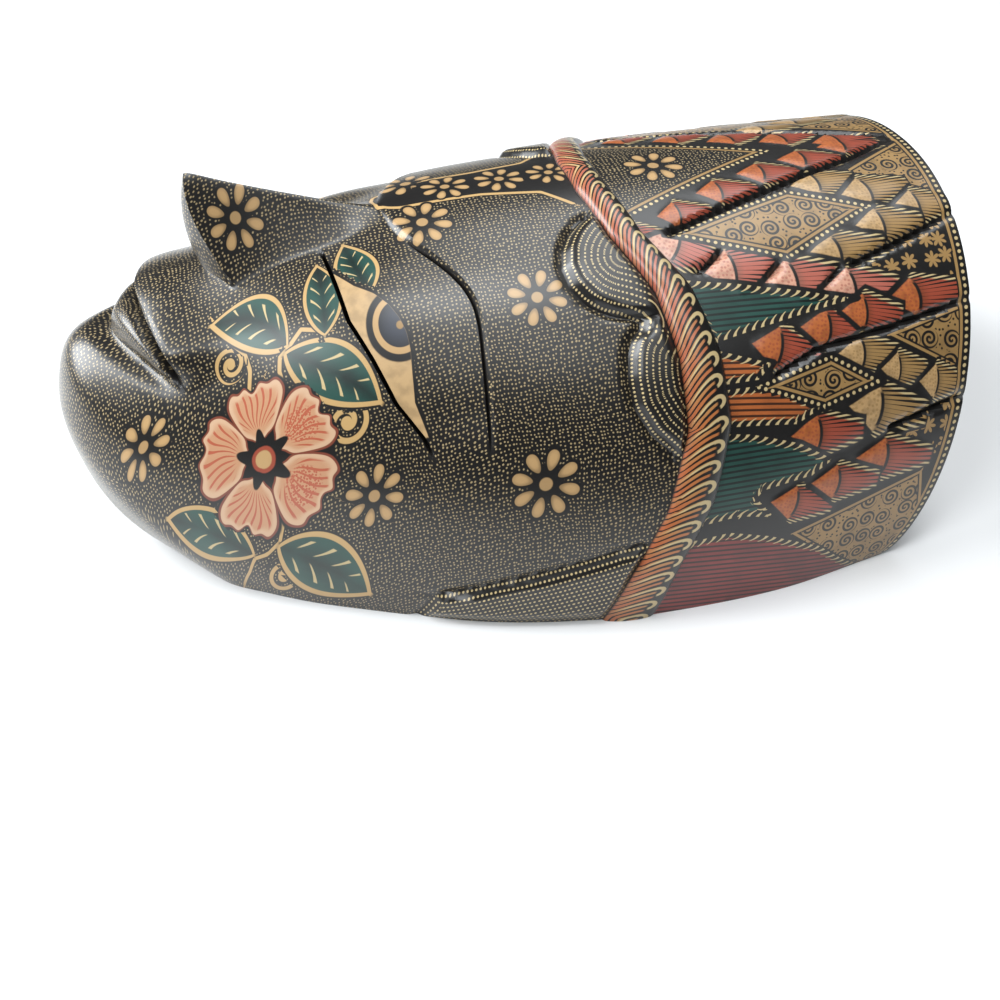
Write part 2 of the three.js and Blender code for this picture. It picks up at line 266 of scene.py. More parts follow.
def carved_lines(away):
    """The stations of the lines that the rows of the outside follow."""
    mouth, front = mouth_line(away), nose_front(away)
    middle, half = look_up(BAND_MIDDLE, away), look_up(BAND_HALF, away)
    slit, brow = look_up(SLIT_LINE, away), brow_line(away)
    hair = np.minimum(look_up(HAIR_EDGE, away), middle - half - 4)
    below_lip = mouth - np.maximum(lower_lip(away) + 1, 6) / STATION_SPAN
    placed = (slit - 0.55, slit, slit + 0.55, brow - 0.5, brow, brow + 0.5, hair, middle - half, middle + half)
    ahead = [station_at(x, away) for x in placed]
    return np.array([0 * away, below_lip, mouth, front, front + 0.015 + 0.4 * rise(11, 26, away), *ahead,
                     LAST_STATION + 0 * away])


def end_wall(edge, foot, rows):
    """Rows of points that drop from the last arch row to its foot on the rim."""
    bow = np.maximum(0, 1 - (edge[:, 1] / foot["half"]) ** 2)
    foot_x = foot["corner"] + (foot["middle"] - foot["corner"]) * bow
    drop = (np.arange(1, rows + 1) / rows)[:, None]
    x = edge[:, 0] + (foot_x - edge[:, 0]) * drop
    return np.stack((x, np.broadcast_to(edge[:, 1], x.shape), edge[:, 2] * (1 - drop)), -1)


class Spread:
    """Distances over the smooth arch: L along it from chin to crown, G across from the ridge."""

    ROWS, COLUMNS, ROW_STEP = 240, 180, 0.05
    LEVEL_X = 20

    def __init__(self):
        stations, angles = np.linspace(0, LAST_STATION, self.ROWS + 1), np.linspace(-90, 90, self.COLUMNS + 1)
        places = arch(OUTSIDE, *np.meshgrid(stations, angles, indexing="ij"))
        across, along = (np.linalg.norm(np.diff(places, axis=axis), axis=2) for axis in (1, 0))
        girth = np.pad(np.cumsum(across, 1), ((0, 0), (1, 0)))
        self.girth = girth - girth[:, self.COLUMNS // 2, None]
        self.length = np.pad(np.cumsum(along, 0), ((1, 0), (0, 0)))
        ahead = self.ROWS // 2
        for x, length in zip(places[ahead:, :, 0].T, self.length.T):
            length += self.LEVEL_X - np.interp(self.LEVEL_X, x, length[ahead:])

    def at(self, station, angle):
        row = np.clip(station / self.ROW_STEP, 0, self.ROWS - 0.001)
        column = np.clip(angle + 90, 0, self.COLUMNS - 0.001)
        r, c = row.astype(int), column.astype(int)
        fr, fc = row - r, column - c

        def blend(table):
            near = table[r, c] * (1 - fr) + table[r + 1, c] * fr
            far = table[r, c + 1] * (1 - fr) + table[r + 1, c + 1] * fr
            return near * (1 - fc) + far * fc

        return blend(self.length), blend(self.girth)


def along_line(points, length, girth):
    """Distance along a line of points, and the signed distance to its left, of each place."""
    points = np.array(points, float)
    best = np.full(np.shape(length), 1e9)
    along, aside = np.zeros_like(best), np.zeros_like(best)
    start = 0.0
    for a, b in zip(points[:-1], points[1:]):
        span = np.hypot(*(b - a))
        ux, uy = (b - a) / span
        dx, dy = length - a[0], girth - a[1]
        part, side = np.clip(dx * ux + dy * uy, 0, span), ux * dy - uy * dx
        off = np.hypot(dx - part * ux, dy - part * uy)
        closer = off < best - 1e-9
        best = np.where(closer, off, best)
        along = np.where(closer, start + part, along)
        aside = np.where(closer, np.where(side < 0, -off, off), aside)
        start += span
    return along, aside


def inside_outline(points, length, girth):
    """Distance inside a closed outline (below 0 outside), and the distance along its nearest edge."""
    closed = list(points) + [points[0]]
    along, aside = along_line(closed, length, girth)
    inside = np.zeros(np.shape(length), bool)
    for (ax, ay), (bx, by) in zip(closed[:-1], closed[1:]):
        crosses = (ay > girth) != (by > girth)
        with np.errstate(divide="ignore", invalid="ignore"):
            cut = ax + (girth - ay) * (bx - ax) / (by - ay if by != ay else 1e-9)
        inside ^= crosses & (length < cut)
    return np.where(inside, np.abs(aside), -np.abs(aside)), along


# ---------------------------------------------------------------- where the painting goes
# Face motifs lie at (L, G) and crown motifs at (x, G), in millimetres.

NOSE_DAISY = (-66.1, 91, 7)
# Daisies as (L, G, reach along the mask, reach round it).
DAISIES = ((-103.9, 36.7, 8.6, 6.3), (-46.4, 76.8, 7.8, 7.8), (-3.7, 86, 8.9, 8.9), (2, 39.9, 7.6, 7.6),
           (-20.7, 10.9, 7.8, 7.8))
CENTRE_DAISIES = ((-11.5, -3.5, 6.6), (3.3, -3.5, 6.8), (17, -3.5, 6.2))
CROWN_DAISY = (45.3, 0.6, 8)
BLOSSOM = (-72.6, 56.4)
# Each petal of the blossom: its turn in degrees and its reach.
BLOSSOM_PETALS = ((-146.5, 18.6), (-86, 16.2), (-13.4, 18.2), (48.9, 21.4), (125.7, 15.6))
# Leaves as (root, tip, half width, bow).
LEAVES = (
    ((-60.4, 34.6), (-77.8, 21.6), 6.6, -3.6),
    ((-61.4, 36), (-40.6, 55.6), 6.8, -1.2),
    ((-50.8, 35.4), (-49.2, 15.6), 4.6, 0.6),
    ((-81.9, 76.2), (-103.8, 53.2), 5.4, -0.6),
    ((-74.4, 77.8), (-52.2, 103.6), 7.6, -1),
)
EYE_LEAF = ((-38.2, 28.6), (-41.6, 10.4), 5.2, 0)
# Stems as lines of points, and curls as (middle, radius, turn where they start, hand).
STEMS = (
    ((-50.8, 34.2), (-56.2, 31.9), (-60.4, 35.1), (-62.8, 36.4), (-63.6, 39.5), (-63.2, 46)),
    ((-77, 21.1), (-74.9, 25.1), (-73.4, 28.6), (-71.2, 31.8), (-70.8, 36.1), (-72.5, 41.5)),
    ((-72.6, 66), (-71.2, 72.7), (-73.6, 76.9), (-78, 78), (-82.1, 77.2), (-85.2, 80.2), (-88.7, 81.8)),
    ((-59, 58.6), (-55.4, 56.8)),
)
CURLS = (((-75.2, 32.6), 3.9, 40, 1), ((-49.8, 57.2), 5.2, 200, 1), ((-75.6, 85.8), 5, 240, 1))
GOLD_LINE = ((-31.5, -3.5), (-30.5, 1.2), (-24.8, 3.2), (-3.5, 3.6), (11.9, 6.2), (18.5, 12.8))
PANEL_MIDDLE = -3.5
EYE = ((-49, 17.5), (-47.2, 17.8), (-41.4, 25.2), (-37, 28.8), (-34, 32.8), (-32.2, 36.7), (-31.2, 40.9),
       (-31.1, 45.1), (-31.8, 51), (-32.5, 58.2), (-30.6, 67.5), (-36, 66))
IRIS = (-32.4, 38.2, 9.6, 8.2)

FEATHER_FULLNESS = 1.4
# Feathers as (colour, tip, end, half width).
FEATHERS = (
    ("red", (24.5, 26.5), (39.5, 29.6), 4),
    ("red", (37.8, 22.3), (53.5, 23.4), 4.2),
    ("red", (50.7, 16), (68.6, 17.1), 4.2),
    ("red", (64.6, 10), (83.8, 12.6), 4.2),
    ("red", (78.5, 5.6), (98.4, 8.3), 4.2),
    ("red", (92.7, 1.3), (113, 2.4), 4),
    ("gold", (77, 17.9), (97.4, 17.3), 4.3),
    ("gold", (89.5, 23.3), (111, 21.6), 4.6),
    ("gold", (102.7, 28.8), (121, 30.1), 4.6),
    ("gold", (89.3, 33.7), (109.6, 34.8), 4.8),
    ("gold", (72.9, 40.7), (96.4, 40.3), 4.8),
    ("pink", (33, 28.5), (50.8, 39.6), 5.4),
    ("pink", (44.4, 41.5), (65, 42.2), 5.4),
    ("pink", (58.9, 46.9), (81.6, 47.2), 5.6),
    ("pink", (74.3, 50.5), (97.2, 52.2), 5.2),
    ("red", (91, 55.7), (116.6, 54.7), 4.6),
    ("red", (52.1, 61.3), (71.6, 67.8), 5),
    ("red", (65.8, 59.2), (86.4, 63.5), 4.8),
    ("red", (78.2, 56.6), (96, 59.7), 4.4),
    ("gold", (75, 67.3), (94, 69.6), 4.2),
    ("gold", (87, 72.7), (101.4, 74.5), 4),
    ("gold", (98.2, 77.4), (112.6, 79.3), 4.2),
    ("gold", (76.4, 80.9), (101, 86.4), 5.6),
    ("red", (59.5, 86.4), (81.2, 87.8), 4.8),
    ("red", (78.3, 95.3), (103.2, 98.7), 5),
    ("red", (53.8, 103.1), (73, 107.6), 4.4),
    ("red", (65.3, 100.1), (86.6, 102.6), 4.4),
)
# Lined panels as (colour, outline, middle of the base, tip).
PANELS = (
    ("green", ((37, 41.5), (84.2, 54), (43, 60.2)), (42, 51), (84.2, 54)),
    ("orange", ((41, 60.4), (57.8, 67.2), (53.4, 71), (41, 70.6)), (42, 66.2), (58, 68.6)),
    ("orange", ((41, 71.4), (56.8, 72.2), (70, 80.4), (62.4, 83.8), (41, 81)), (42, 76.6), (70, 81)),
    ("green", ((40, 81.8), (50, 83.8), (62.9, 88.4), (73, 94.6), (66.4, 98.2), (52.6, 99.8), (51, 101.4),
               (56.5, 108.4), (46, 105.8), (36, 106.2), (26, 108.4)), (36, 94), (73, 95.4)),
    ("maroon", ((20, 112), (34, 109.8), (43.5, 109.6), (55.1, 113.4), (71.2, 120.7), (92.4, 138.5),
                (18, 142)), (22, 127), (92, 138)),
)
SCROLL_DIAMONDS = (
    ((38, 28.9), (75.7, 18.9), (98, 27.9), (68.6, 41.4)),
    ((50.6, 72.4), (73.9, 67.2), (88.4, 76.2), (70.4, 80.9)),
)
SCROLL_FIELDS = (
    ((93.5, 14.9), (117.4, 2.6), (122.5, 12), (122, 29)),
    ((90, 64.1), (118.2, 57.6), (114.5, 78.3)),
    ((60.6, 114.2), (101.5, 102.4), (104, 120), (94, 141)),
)
STAR_FIELDS = (
    ((89, 45.3), (120.6, 33.8), (122, 45), (117.6, 54.6)),
    ((90, 89.4), (109, 84.6), (110, 92), (107, 101.4)),
)
CROWN_WEDGE = ((24, 24.6), (81, 0), (24, -24.6))

FEATHER_TIPS = {"red": "orange", "pink": "blush", "gold": "daisy"}
BEAD_SPACING = 1.9
PANEL_LINE_SPACING = 1.5
DASH_SPACING = 2.6
# Edge values far from any line, for motifs that none passes.
OFF_LINES = (9, -9)
# How far beyond its middle line, or its own edge at 1, the paint of a motif is laid.
STEM_REACH, BLOSSOM_REACH, PETAL_REACH = 1.9, 2.6, 1.4
# The dots are laid straight on where a face is this steep and its layout this share of its area.
STEEP, DRAWN_OUT = 0.64, 0.72
# Plain black without dots over the brow lines, the mouth's corners and the eye slits, partly black paint and partly
# painted shade in these carved grooves: half width, and ends in degrees.
BROW_BLACK_AND_SHADE, MOUTH_BLACK_AND_SHADE, SLIT_BLACK_AND_SHADE = (0.45, 13, 54), (0.9, 26, 32), (0.5, 9, 54.5)
# Rows of beads as (name, carved edge, ends in degrees, distance between rows and between beads).
BEAD_ROWS = (("hair_rows", HAIR_EDGE, (12, 64), 1.6, 1.05), ("sideburn_rows", SIDEBURN_EDGE, (73, 89.5), 1.35, 1.15))


def feather_place(feather, x, girth):
    """Place on a feather: 0 to 1 from tip to end, and -1 to 1 across its widest part."""
    _, tip, end, half = feather
    along, across = place_between(tip, end, x, girth)
    return along / math.dist(tip, end), across / (half * FEATHER_FULLNESS)


def feather_half(along):
    """Half width of a feather, as a share of its widest part: a long diamond."""
    along = np.clip(along, 0, 1)
    return np.where(along < 0.42, along / 0.42, 1.42 - along)


def feather_gap(feather, x, girth):
    """Distance outside a feather, in millimetres."""
    _, tip, end, half = feather
    along, across = feather_place(feather, x, girth)
    beside = (np.abs(across) - feather_half(along)) * half * 0.9
    return np.maximum(beside, np.maximum(-along, along - 1) * math.dist(tip, end))


def leaf_half(along):
    """Half width of a leaf, as a share of its widest part."""
    return 3.6 * along ** 0.85 * (1 - along)


def crown_relief(x, girth, carving):
    """Low pillows under the feathers, and the cuts between their rows."""
    pillow = np.zeros(np.shape(x))
    for feather in FEATHERS:
        along, across = feather_place(feather, x, girth)
        inside = np.clip(1 - np.abs(across) / np.maximum(feather_half(along), 0.05), 0, 1)
        lengthwise = rise(-0.02, 0.2, along) * (1 - rise(0.8, 1.12, along))
        pillow = np.maximum(pillow, lengthwise * (1 - (1 - inside) ** 2.5))
    height = carving.feather_rise / MM * pillow
    cut = np.zeros(np.shape(x))
    for line in CROWN_CUTS + CROWN_NOTCHES:
        along, aside = along_line(line, x, girth)
        reach, half, ends = math.dist(line[0], line[-1]), CUT_HALF, rise(0, 3, along)
        if line in CROWN_NOTCHES:
            half, ends = NOTCH_HALF, ends * (1 - rise(reach - 2, reach, along))
        cut = np.maximum(cut, ends * np.clip(1 - np.abs(aside) / half, 0, 1) * (1 - 0.7 * rise(106, 116, x)))
    return height - carving.cut_depth / MM * cut


def carve_outside(carving, spread):
    """The stations, angles and points of the outside, row by row from chin to crown."""
    angle = np.linspace(-90, 90, COLUMNS + 1)
    lines = carved_lines(np.abs(angle))
    rows = np.arange(ROWS_TO_LINE[-1] + 1)
    station = np.stack([np.interp(rows, ROWS_TO_LINE, column) for column in lines.T], 1)
    angle = np.broadcast_to(angle, station.shape)
    away = np.abs(angle)
    place = arch(OUTSIDE, station, angle)
    x = place[..., 0]
    height = carved_relief(station, angle, x, carving)
    _, girth = spread.at(station, angle)
    behind_band = rise(0, 2.5, x - look_up(BAND_MIDDLE, away) - look_up(BAND_HALF, away))
    height = height + crown_relief(x, np.abs(girth), carving) * behind_band
    on_slit = plateau(away, *SLIT_ENDS) * (np.abs(x - look_up(SLIT_LINE, away)) < 0.3)
    on_brow = plateau(away, *BROW_LINE_ENDS) * (np.abs(x - brow_line(away)) < 0.2)
    height = height - carving.slit_depth / MM * on_slit - BROW_LINE_DEPTH * on_brow
    point = place + arch_normal(OUTSIDE, station, angle) * height[..., None]
    point[..., 2] = np.where((away > RIM_ANGLE) | (station == 0), 0, np.maximum(point[..., 2], 0))
    low, high = NOSE_WALL_ROWS
    lift = np.clip((rows - low) / (high - low), 0, 1)[:, None]
    raised = nose_height(station, away)
    point[..., 2] += raised * lift
    part, beyond = raised / NOSE["height"] * lift, np.clip(station - NOSE["front"], 0, 1)
    point[..., 0] -= NOSE["bulge"] * 4 * part * (1 - part) * (1 - beyond) ** 3
    return station, angle, point, carved_girth(point, np.abs(girth)), np.broadcast_to(lift, station.shape)


def carved_girth(point, girth):
    """Distance from the ridge as carved, kept to the smooth arch's beyond the nose."""
    middle = point.shape[1] // 2
    step = np.linalg.norm(np.diff(point, axis=1), axis=2)
    far = np.cumsum(step[:, middle:], 1)
    near = np.cumsum(step[:, :middle][:, ::-1], 1)[:, ::-1]
    carved = np.hstack((near, np.zeros((len(point), 1)), far))
    edge = np.array([np.interp(NOSE_REACH, row_girth[middle:], row[middle:])
                     for row_girth, row in zip(girth, carved)])[:, None]
    return np.where(girth < NOSE_REACH, carved + NOSE_REACH - edge, girth)


def add_grid(points, layers, name):
    """A grid of faces with its vertices moved to the carved points."""
    rows, columns = points.shape[:2]
    bpy.ops.object.select_all(action="DESELECT")
    bpy.ops.mesh.primitive_grid_add(x_subdivisions=rows - 1, y_subdivisions=columns - 1, size=2)
    grid = bpy.context.object
    grid.name = name
    flat = np.empty(len(grid.data.vertices) * 3)
    grid.data.vertices.foreach_get("co", flat)
    flat = flat.reshape(-1, 3)
    row, column = np.rint((flat[:, :2] + 1) / 2 * (rows - 1, columns - 1)).astype(int).T
    grid.data.vertices.foreach_set("co", (points[row, column] * MM).ravel())
    for label, values in layers.items():
        layer = grid.data.attributes.new(label, "FLOAT", "POINT")
        layer.data.foreach_set("value", values[row, column].astype(np.float32))
    grid.data.update()
    return grid


def with_wall(station, point, foot, rows):
    """The stations and points of the carved rows, with the rows of their end wall added."""
    beyond = np.repeat(station[-1:], rows, 0) + np.arange(1, rows + 1)[:, None]
    return np.vstack((station, beyond)), np.vstack((point, end_wall(point[-1], foot, rows)))


def build_mask(carving):
    """One closed piece: the carved outside, the hollow and the flat rim between them."""
    station, angle, point, girth, lift = carve_outside(carving, Spread())
    station, point = with_wall(station, point, CROWN_FOOT, WALL_ROWS)
    layers = {"station": station}
    for label, values in (("angle", angle), ("round", girth), ("lift", lift)):
        layers[label] = np.vstack((values, np.repeat(values[-1:], WALL_ROWS, 0)))
    outside = add_grid(point, layers, MASK)
    inner_station, inner_angle = np.meshgrid(np.linspace(0, len(HOLLOW) - 1, HOLLOW_ROWS + 1),
                                             np.linspace(-90, 90, HOLLOW_COLUMNS + 1), indexing="ij")
    inner = arch(HOLLOW, inner_station, inner_angle)
    inner[0, :, 2] = 0
    _, inner = with_wall(inner_station, inner, HOLLOW_FOOT, HOLLOW_WALL_ROWS)
    behind = np.full(inner.shape[:2], HOLLOW_MARK)
    hollow = add_grid(inner, {"station": behind, "angle": 0 * behind, "round": 0 * behind, "lift": 0 * behind},
                      "hollow")
    bpy.ops.object.select_all(action="DESELECT")
    hollow.select_set(True)
    outside.select_set(True)
    bpy.context.view_layer.objects.active = outside
    bpy.ops.object.join()
    bpy.ops.object.mode_set(mode="EDIT")
    bpy.ops.mesh.select_all(action="SELECT")
    bpy.ops.mesh.remove_doubles(threshold=0.000002)
    bpy.ops.mesh.select_mode(type="EDGE")
    bpy.ops.mesh.select_all(action="DESELECT")
    bpy.ops.mesh.select_non_manifold(extend=False, use_wire=False, use_boundary=True, use_multi_face=False,
                                     use_non_contiguous=False, use_verts=False)
    bpy.ops.mesh.fill(use_beauty=True)
    bpy.ops.mesh.select_all(action="SELECT")
    bpy.ops.mesh.normals_make_consistent(inside=False)
    bpy.ops.object.mode_set(mode="OBJECT")
    bpy.ops.object.shade_smooth_by_angle(angle=math.radians(40))
    return outside


# ---------------------------------------------------------------- finishes

LACQUER_ROUGH, LACQUER_GRAIN = 0.42, 0.25
COAT, COAT_ROUGH = 0.9, 0.31
# How often the fibres repeat along each axis, for the grain under the lacquer and for the bare wood.
FIBRES, BARE_FIBRES = (160, 900, 500), (30, 260, 260)


def join(tree, slot, value):
    """Links a node's input to another node, or sets it to a number or a colour."""
    value = getattr(value, "socket", value)
    if isinstance(value, bpy.types.NodeSocket):
        tree.links.new(value, slot)
    else:
        slot.default_value = (*value, 1) if slot.type == "RGBA" else value


def add_node(tree, kind, inputs, **settings):
    """A node of one kind, with its settings made and its inputs joined."""
    node = tree.nodes.new(f"ShaderNode{kind}")
    for label, value in settings.items():
        setattr(node, label, value)
    for slot, value in inputs.items():
        join(tree, node.inputs[slot], value)
    return node


def main_node(owner, kind, inputs):
    """The node that shades a material or a world, with its inputs joined."""
    owner.use_nodes = True
    node = next(n for n in owner.node_tree.nodes if n.type == kind)
    for slot, value in inputs.items():
        join(owner.node_tree, node.inputs[slot], value)
    return node


def by_node(operation):
    """A method that does its arithmetic in a node."""
    return lambda field, *others: field.math(operation, *others)


class Field:
    """A number that varies over the wood, wired from the nodes of one material."""

    def __init__(self, tree, node, output=0):
        self.tree, self.socket = tree, node.outputs[output]

    def math(self, operation, *others):
        inputs = dict(enumerate((self, *others)))
        return Field(self.tree, add_node(self.tree, "Math", inputs, operation=operation))

    __add__ = __radd__ = by_node("ADD")
    __mul__ = __rmul__ = by_node("MULTIPLY")
    __sub__, __truediv__ = by_node("SUBTRACT"), by_node("DIVIDE")
    at_most, at_least, above = by_node("MINIMUM"), by_node("MAXIMUM"), by_node("GREATER_THAN")
    size, whole, part, root, power = (by_node(o) for o in ("ABSOLUTE", "FLOOR", "FRACT", "SQRT", "POWER"))
    cosine, sine, turn = by_node("COSINE"), by_node("SINE"), by_node("ARCTAN2")

    def __rsub__(self, other):
        return self * -1 + other

    def hypot(self, other):
        return (self * self + other * other).root()

    def ripple(self):
        """Distance from the middle of each repeat, in a pattern that repeats every 1."""
        return (self.part() - 0.5).size()

    def step(self, low, high):
        """A smooth step: 0 below low, 1 above high. With high below low it falls instead."""
        limits = (high, low, 1, 0) if high < low else (low, high, 0, 1)
        inputs = dict(enumerate((self, *limits)))
        return Field(self.tree, add_node(self.tree, "MapRange", inputs, interpolation_type="SMOOTHSTEP"))


class Finish:
    """One painted finish: a material whose colour, gloss and grain come from nodes."""

    def __init__(self, name, paint):
        self.material = bpy.data.materials.new(name)
        self.shader = main_node(self.material, "BSDF_PRINCIPLED", {
            "Coat Weight": COAT, "Coat Roughness": COAT_ROUGH, "Specular IOR Level": 0.2})
        self.tree = self.material.node_tree
        self.paint, self.colour, self.rough, self.grain = paint, paint.ground, LACQUER_ROUGH, LACQUER_GRAIN

    def matt(self, rough, grain=LACQUER_GRAIN):
        """Takes the clear coat off."""
        self.shader.inputs["Coat Weight"].default_value = 0
        self.rough, self.grain = rough, grain

    def node(self, kind, inputs, **settings):
        return add_node(self.tree, kind, inputs, **settings)

    def parts(self, socket):
        """The first two numbers of a vector or a colour."""
        node = self.node("SeparateXYZ", {0: socket})
        return Field(self.tree, node, 0), Field(self.tree, node, 1)

    def place(self, layer):
        """The two numbers of a layer that was laid over the wood."""
        return self.parts(self.node("UVMap", {}, uv_map=layer).outputs[0])

    def cells(self, u, v, randomness):
        """Scattered cells: distance from the cell's middle, place in the cell, and a chance number."""
        spot = self.node("CombineXYZ", {0: u, 1: v}).outputs[0]
        node = self.node("TexVoronoi", {"Vector": spot, "Scale": 1, "Randomness": randomness},
                         voronoi_dimensions="2D", feature="F1")
        middle_u, middle_v = self.parts(node.outputs["Position"])
        chance, _ = self.parts(node.outputs["Color"])
        return Field(self.tree, node, "Distance"), u - middle_u, v - middle_v, chance

    def noise(self, scale, detail=3, stretch=None):
        """Soft unevenness read from the place in the wood, drawn out by a stretch along each axis."""
        spot = self.node("TexCoord", {}).outputs["Object"]
        if stretch:
            spot = self.node("Mapping", {"Vector": spot, "Scale": stretch}).outputs[0]
        return Field(self.tree, self.node("TexNoise", {"Vector": spot, "Scale": scale, "Detail": detail}))

    def over(self, mask, paint, base):
        """Paint over a base where the mask is 1."""
        return self.node("Mix", {0: mask, 6: base, 7: paint}, data_type="RGBA").outputs[2]

    def put(self, mask, paint):
        """Puts paint over what is there, where the mask is 1."""
        self.colour = self.over(mask, paint, self.colour)

    def mottled(self, tint, share, scale, low, high):
        """A tint with soft patches of a share of it."""
        return self.over(self.noise(scale).step(low, high), tint * share, tint)

    def ground(self):
        """Black lacquer, a little browner in places."""
        self.colour = self.mottled(self.paint.ground, 1.7, 40, 0.35, 0.75)

    def dots(self, closer=1):
        """The hand-set dots that fill the black ground."""
        self.ground()
        u, v = self.place("dots")
        drift = self.noise(45, 1) * 5
        scale = closer * MM / self.paint.dot_spacing
        distance, _, _, chance = self.cells((u + drift) * scale, (v - drift) * scale, 0.5)
        size = self.paint.dot_radius / self.paint.dot_spacing
        self.put((distance - chance * 0.06).step(size + 0.05, size - 0.09), self.paint.speck)

    def beads(self, along, aside, edge, full):
        """A row of beads in cream, solid inside one radius and gone at another."""
        bead = ((along / BEAD_SPACING).part() - 0.5) * BEAD_SPACING
        self.put(bead.hypot(aside).step(edge, full), self.paint.dot)

    def done(self):
        """Joins the colour, an uneven gloss and the fine grain of brushed lacquer on wood."""
        fibres = self.noise(1, 3, FIBRES)
        lumps = self.node("Bump", {"Strength": self.grain, "Distance": 0.0002, "Height": fibres})
        rough = self.noise(90, 2) * 0.16 + (self.rough - 0.08)
        for slot, value in (("Base Color", self.colour), ("Roughness", rough), ("Normal", lumps.outputs[0])):
            join(self.tree, self.shader.inputs[slot], value)
        return self.material


def draw_lacquer(finish, _):
    finish.ground()


def draw_matt(finish, _):
    finish.matt(0.7)
    finish.ground()


def draw_dots(finish, _, closer=1):
    finish.dots(closer)


def draw_stems(finish, paint):
    """The dotted ground, plain in the centre panel, with a gold line wherever one passes."""
    aside, within = finish.place("edge")
    off = aside.size()
    finish.dots()
    finish.put(off.step(1.05, 0.85).at_least(within.step(-0.1, 0.1)), paint.ground)
    finish.put(off.step(0.58, 0.44), paint.line)


def folded(u, v, petals, shift):
    """Distance and turn about the middle, and the place on one petal with all folded on to it."""
    far, turn = u.hypot(v), v.turn(u)
    fold = ((turn * (petals / 2 / math.pi) + shift).part() - 0.5) * (2 * math.pi / petals)
    return far, turn, far * fold.cosine(), far * fold.sine()


def draw_daisy(finish, paint):
    """Eight round petals about a button, on the dotted ground."""
    far, _, px, py = folded(*finish.place("motif"), 8, 0)
    petal = ((px - 0.69) / 0.3).hypot(py / (px * 0.15 + 0.065))
    draw_stems(finish, paint)
    finish.put(far.step(0.62, 0.5).at_least(petal.step(1.45, 1.3)), paint.ground)
    shaded = (far * 0.8 + petal.step(1, 0.3) * 0.5).step(0.35, 1.1)
    finish.put(petal.step(1.04, 0.94), finish.over(shaded, paint.daisy, paint.daisy * 0.55))
    finish.put(far.step(0.21, 0.17), paint.daisy * 0.8)


def draw_blossom(finish, paint):
    """Five wavy petals with drawn strokes, a dark star, a red ring and a cream button."""
    u, v = finish.place("motif")
    far, turn, px, py = folded(u, v, 5, 0.5)
    waves = (py * 24).cosine() * 0.022
    cleft = py.size().step(0.16, 0) * px.step(0.8, 1) * 0.07
    lengthwise = ((px - 0.63 + waves + cleft) / 0.37).size().power(2.6)
    petal = lengthwise + (py / (px * 0.46 + 0.12)).size().power(2.4)
    draw_stems(finish, paint)
    finish.put(petal.step(1.6, 1.4), paint.ground)
    finish.put(petal.step(1.27, 1.17), paint.petal_stroke * 0.45)
    middle = [c * share for c, share in zip(paint.petal, (0.88, 0.72, 0.62))]
    finish.put(petal.step(1.04, 0.98), finish.over(petal.step(0.85, 0.45), middle, paint.petal))
    bent = py.turn(px - 0.3) * 30 + (px * 9 + turn * 3).sine() * 2.2
    drawn = bent.sine().step(0.35, 0.8) * petal.step(0.72, 0.55)
    finish.put(drawn * (px - 0.02 * bent.cosine()).step(0.4, 0.5), paint.petal_stroke)
    specks = finish.cells(u * 26, v * 26, 0.9)[0].step(0.42, 0.3)
    finish.put(specks * petal.step(0.34, 0.2) * u.step(-0.1, -0.3), paint.petal_stroke)
    star = far - ((turn * 10).cosine() * 0.055 + (turn * 5).cosine() * 0.04 + 0.32)
    finish.put(star.step(0.03, 0), paint.ground)
    finish.put(far.step(0.185, 0.165), paint.red)
    finish.put(far.step(0.13, 0.11), paint.daisy)


def draw_leaf(finish, paint):
    """A green leaf with a gold outline and cream veins ending in beads."""
    u, v = finish.place("motif")
    aside = v.size()
    half = u.at_least(0).at_most(1).power(0.85) * (1 - u).at_least(0).at_most(1) * 3.6
    inset = (half - aside) * 6.5
    ends = u.step(-0.03, 0.01) * u.step(1.04, 1)
    draw_stems(finish, paint)
    finish.put(inset.step(-1.2, -0.9) * ends, paint.ground)
    finish.put(inset.step(-0.6, -0.4) * ends, paint.line)
    lit = (finish.noise(70) * 0.8 + aside * 0.5 + 0.1).step(0.35, 0.85)
    finish.put(inset.step(0.65, 0.85), finish.over(lit, paint.green, paint.green * 0.12))
    slant = (u * 5.2 - aside * 2.1 + v * v * 0.9).ripple()
    vein = (slant - (aside * 0.13 + 0.02)).step(0.03, -0.02)
    reach = aside.step(0.1, 0.2) * (half * 0.66 - aside).step(-0.02, 0.02) * u.step(0.15, 0.2)
    finish.put(vein * reach * u.step(0.86, 0.8), paint.dot)


def draw_curl(finish, paint):
    """A gold tendril that winds inwards to a bead."""
    u, v = finish.place("motif")
    far = u.hypot(v)
    wound = far - 0.96 + (v.turn(u) * (0.5 / math.pi) + 0.5) * 0.6
    off = (wound / 0.6 + 0.5).ripple() * 0.6
    draw_stems(finish, paint)
    finish.put(off.step(0.24, 0.2) * far.step(1.2, 1.15), paint.ground)
    finish.put(off.step(0.16, 0.11) * far.step(1.12, 1.08), paint.line)
    finish.put(far.step(0.3, 0.25), paint.line)


def draw_eye(finish, paint):
    """A gold eye with a dark iris, a cream arc, black lid lines and a small gold spot in the iris that is a painted
    highlight.
    """
    u, v = finish.place("motif")
    inset, _ = finish.place("edge")
    far, within = u.hypot(v), inset.step(-0.1, 0.1)
    finish.dots()
    finish.put(inset.step(-0.9, -0.6), paint.ground)
    finish.put(within, finish.mottled(paint.eye, 0.75, 300, 0.4, 0.7))
    finish.put(far.step(1.03, 0.98) * within, finish.over(far.step(0.2, 0.9), paint.ground, paint.iris))
    finish.put((far - 0.72).size().step(0.1, 0.07) * u.step(0.35, 0.1) * within, paint.daisy)
    # A small gold spot in the iris: a painted highlight.
    finish.put(u.hypot(v - 0.05).step(0.13, 0.09) * within, paint.gold)


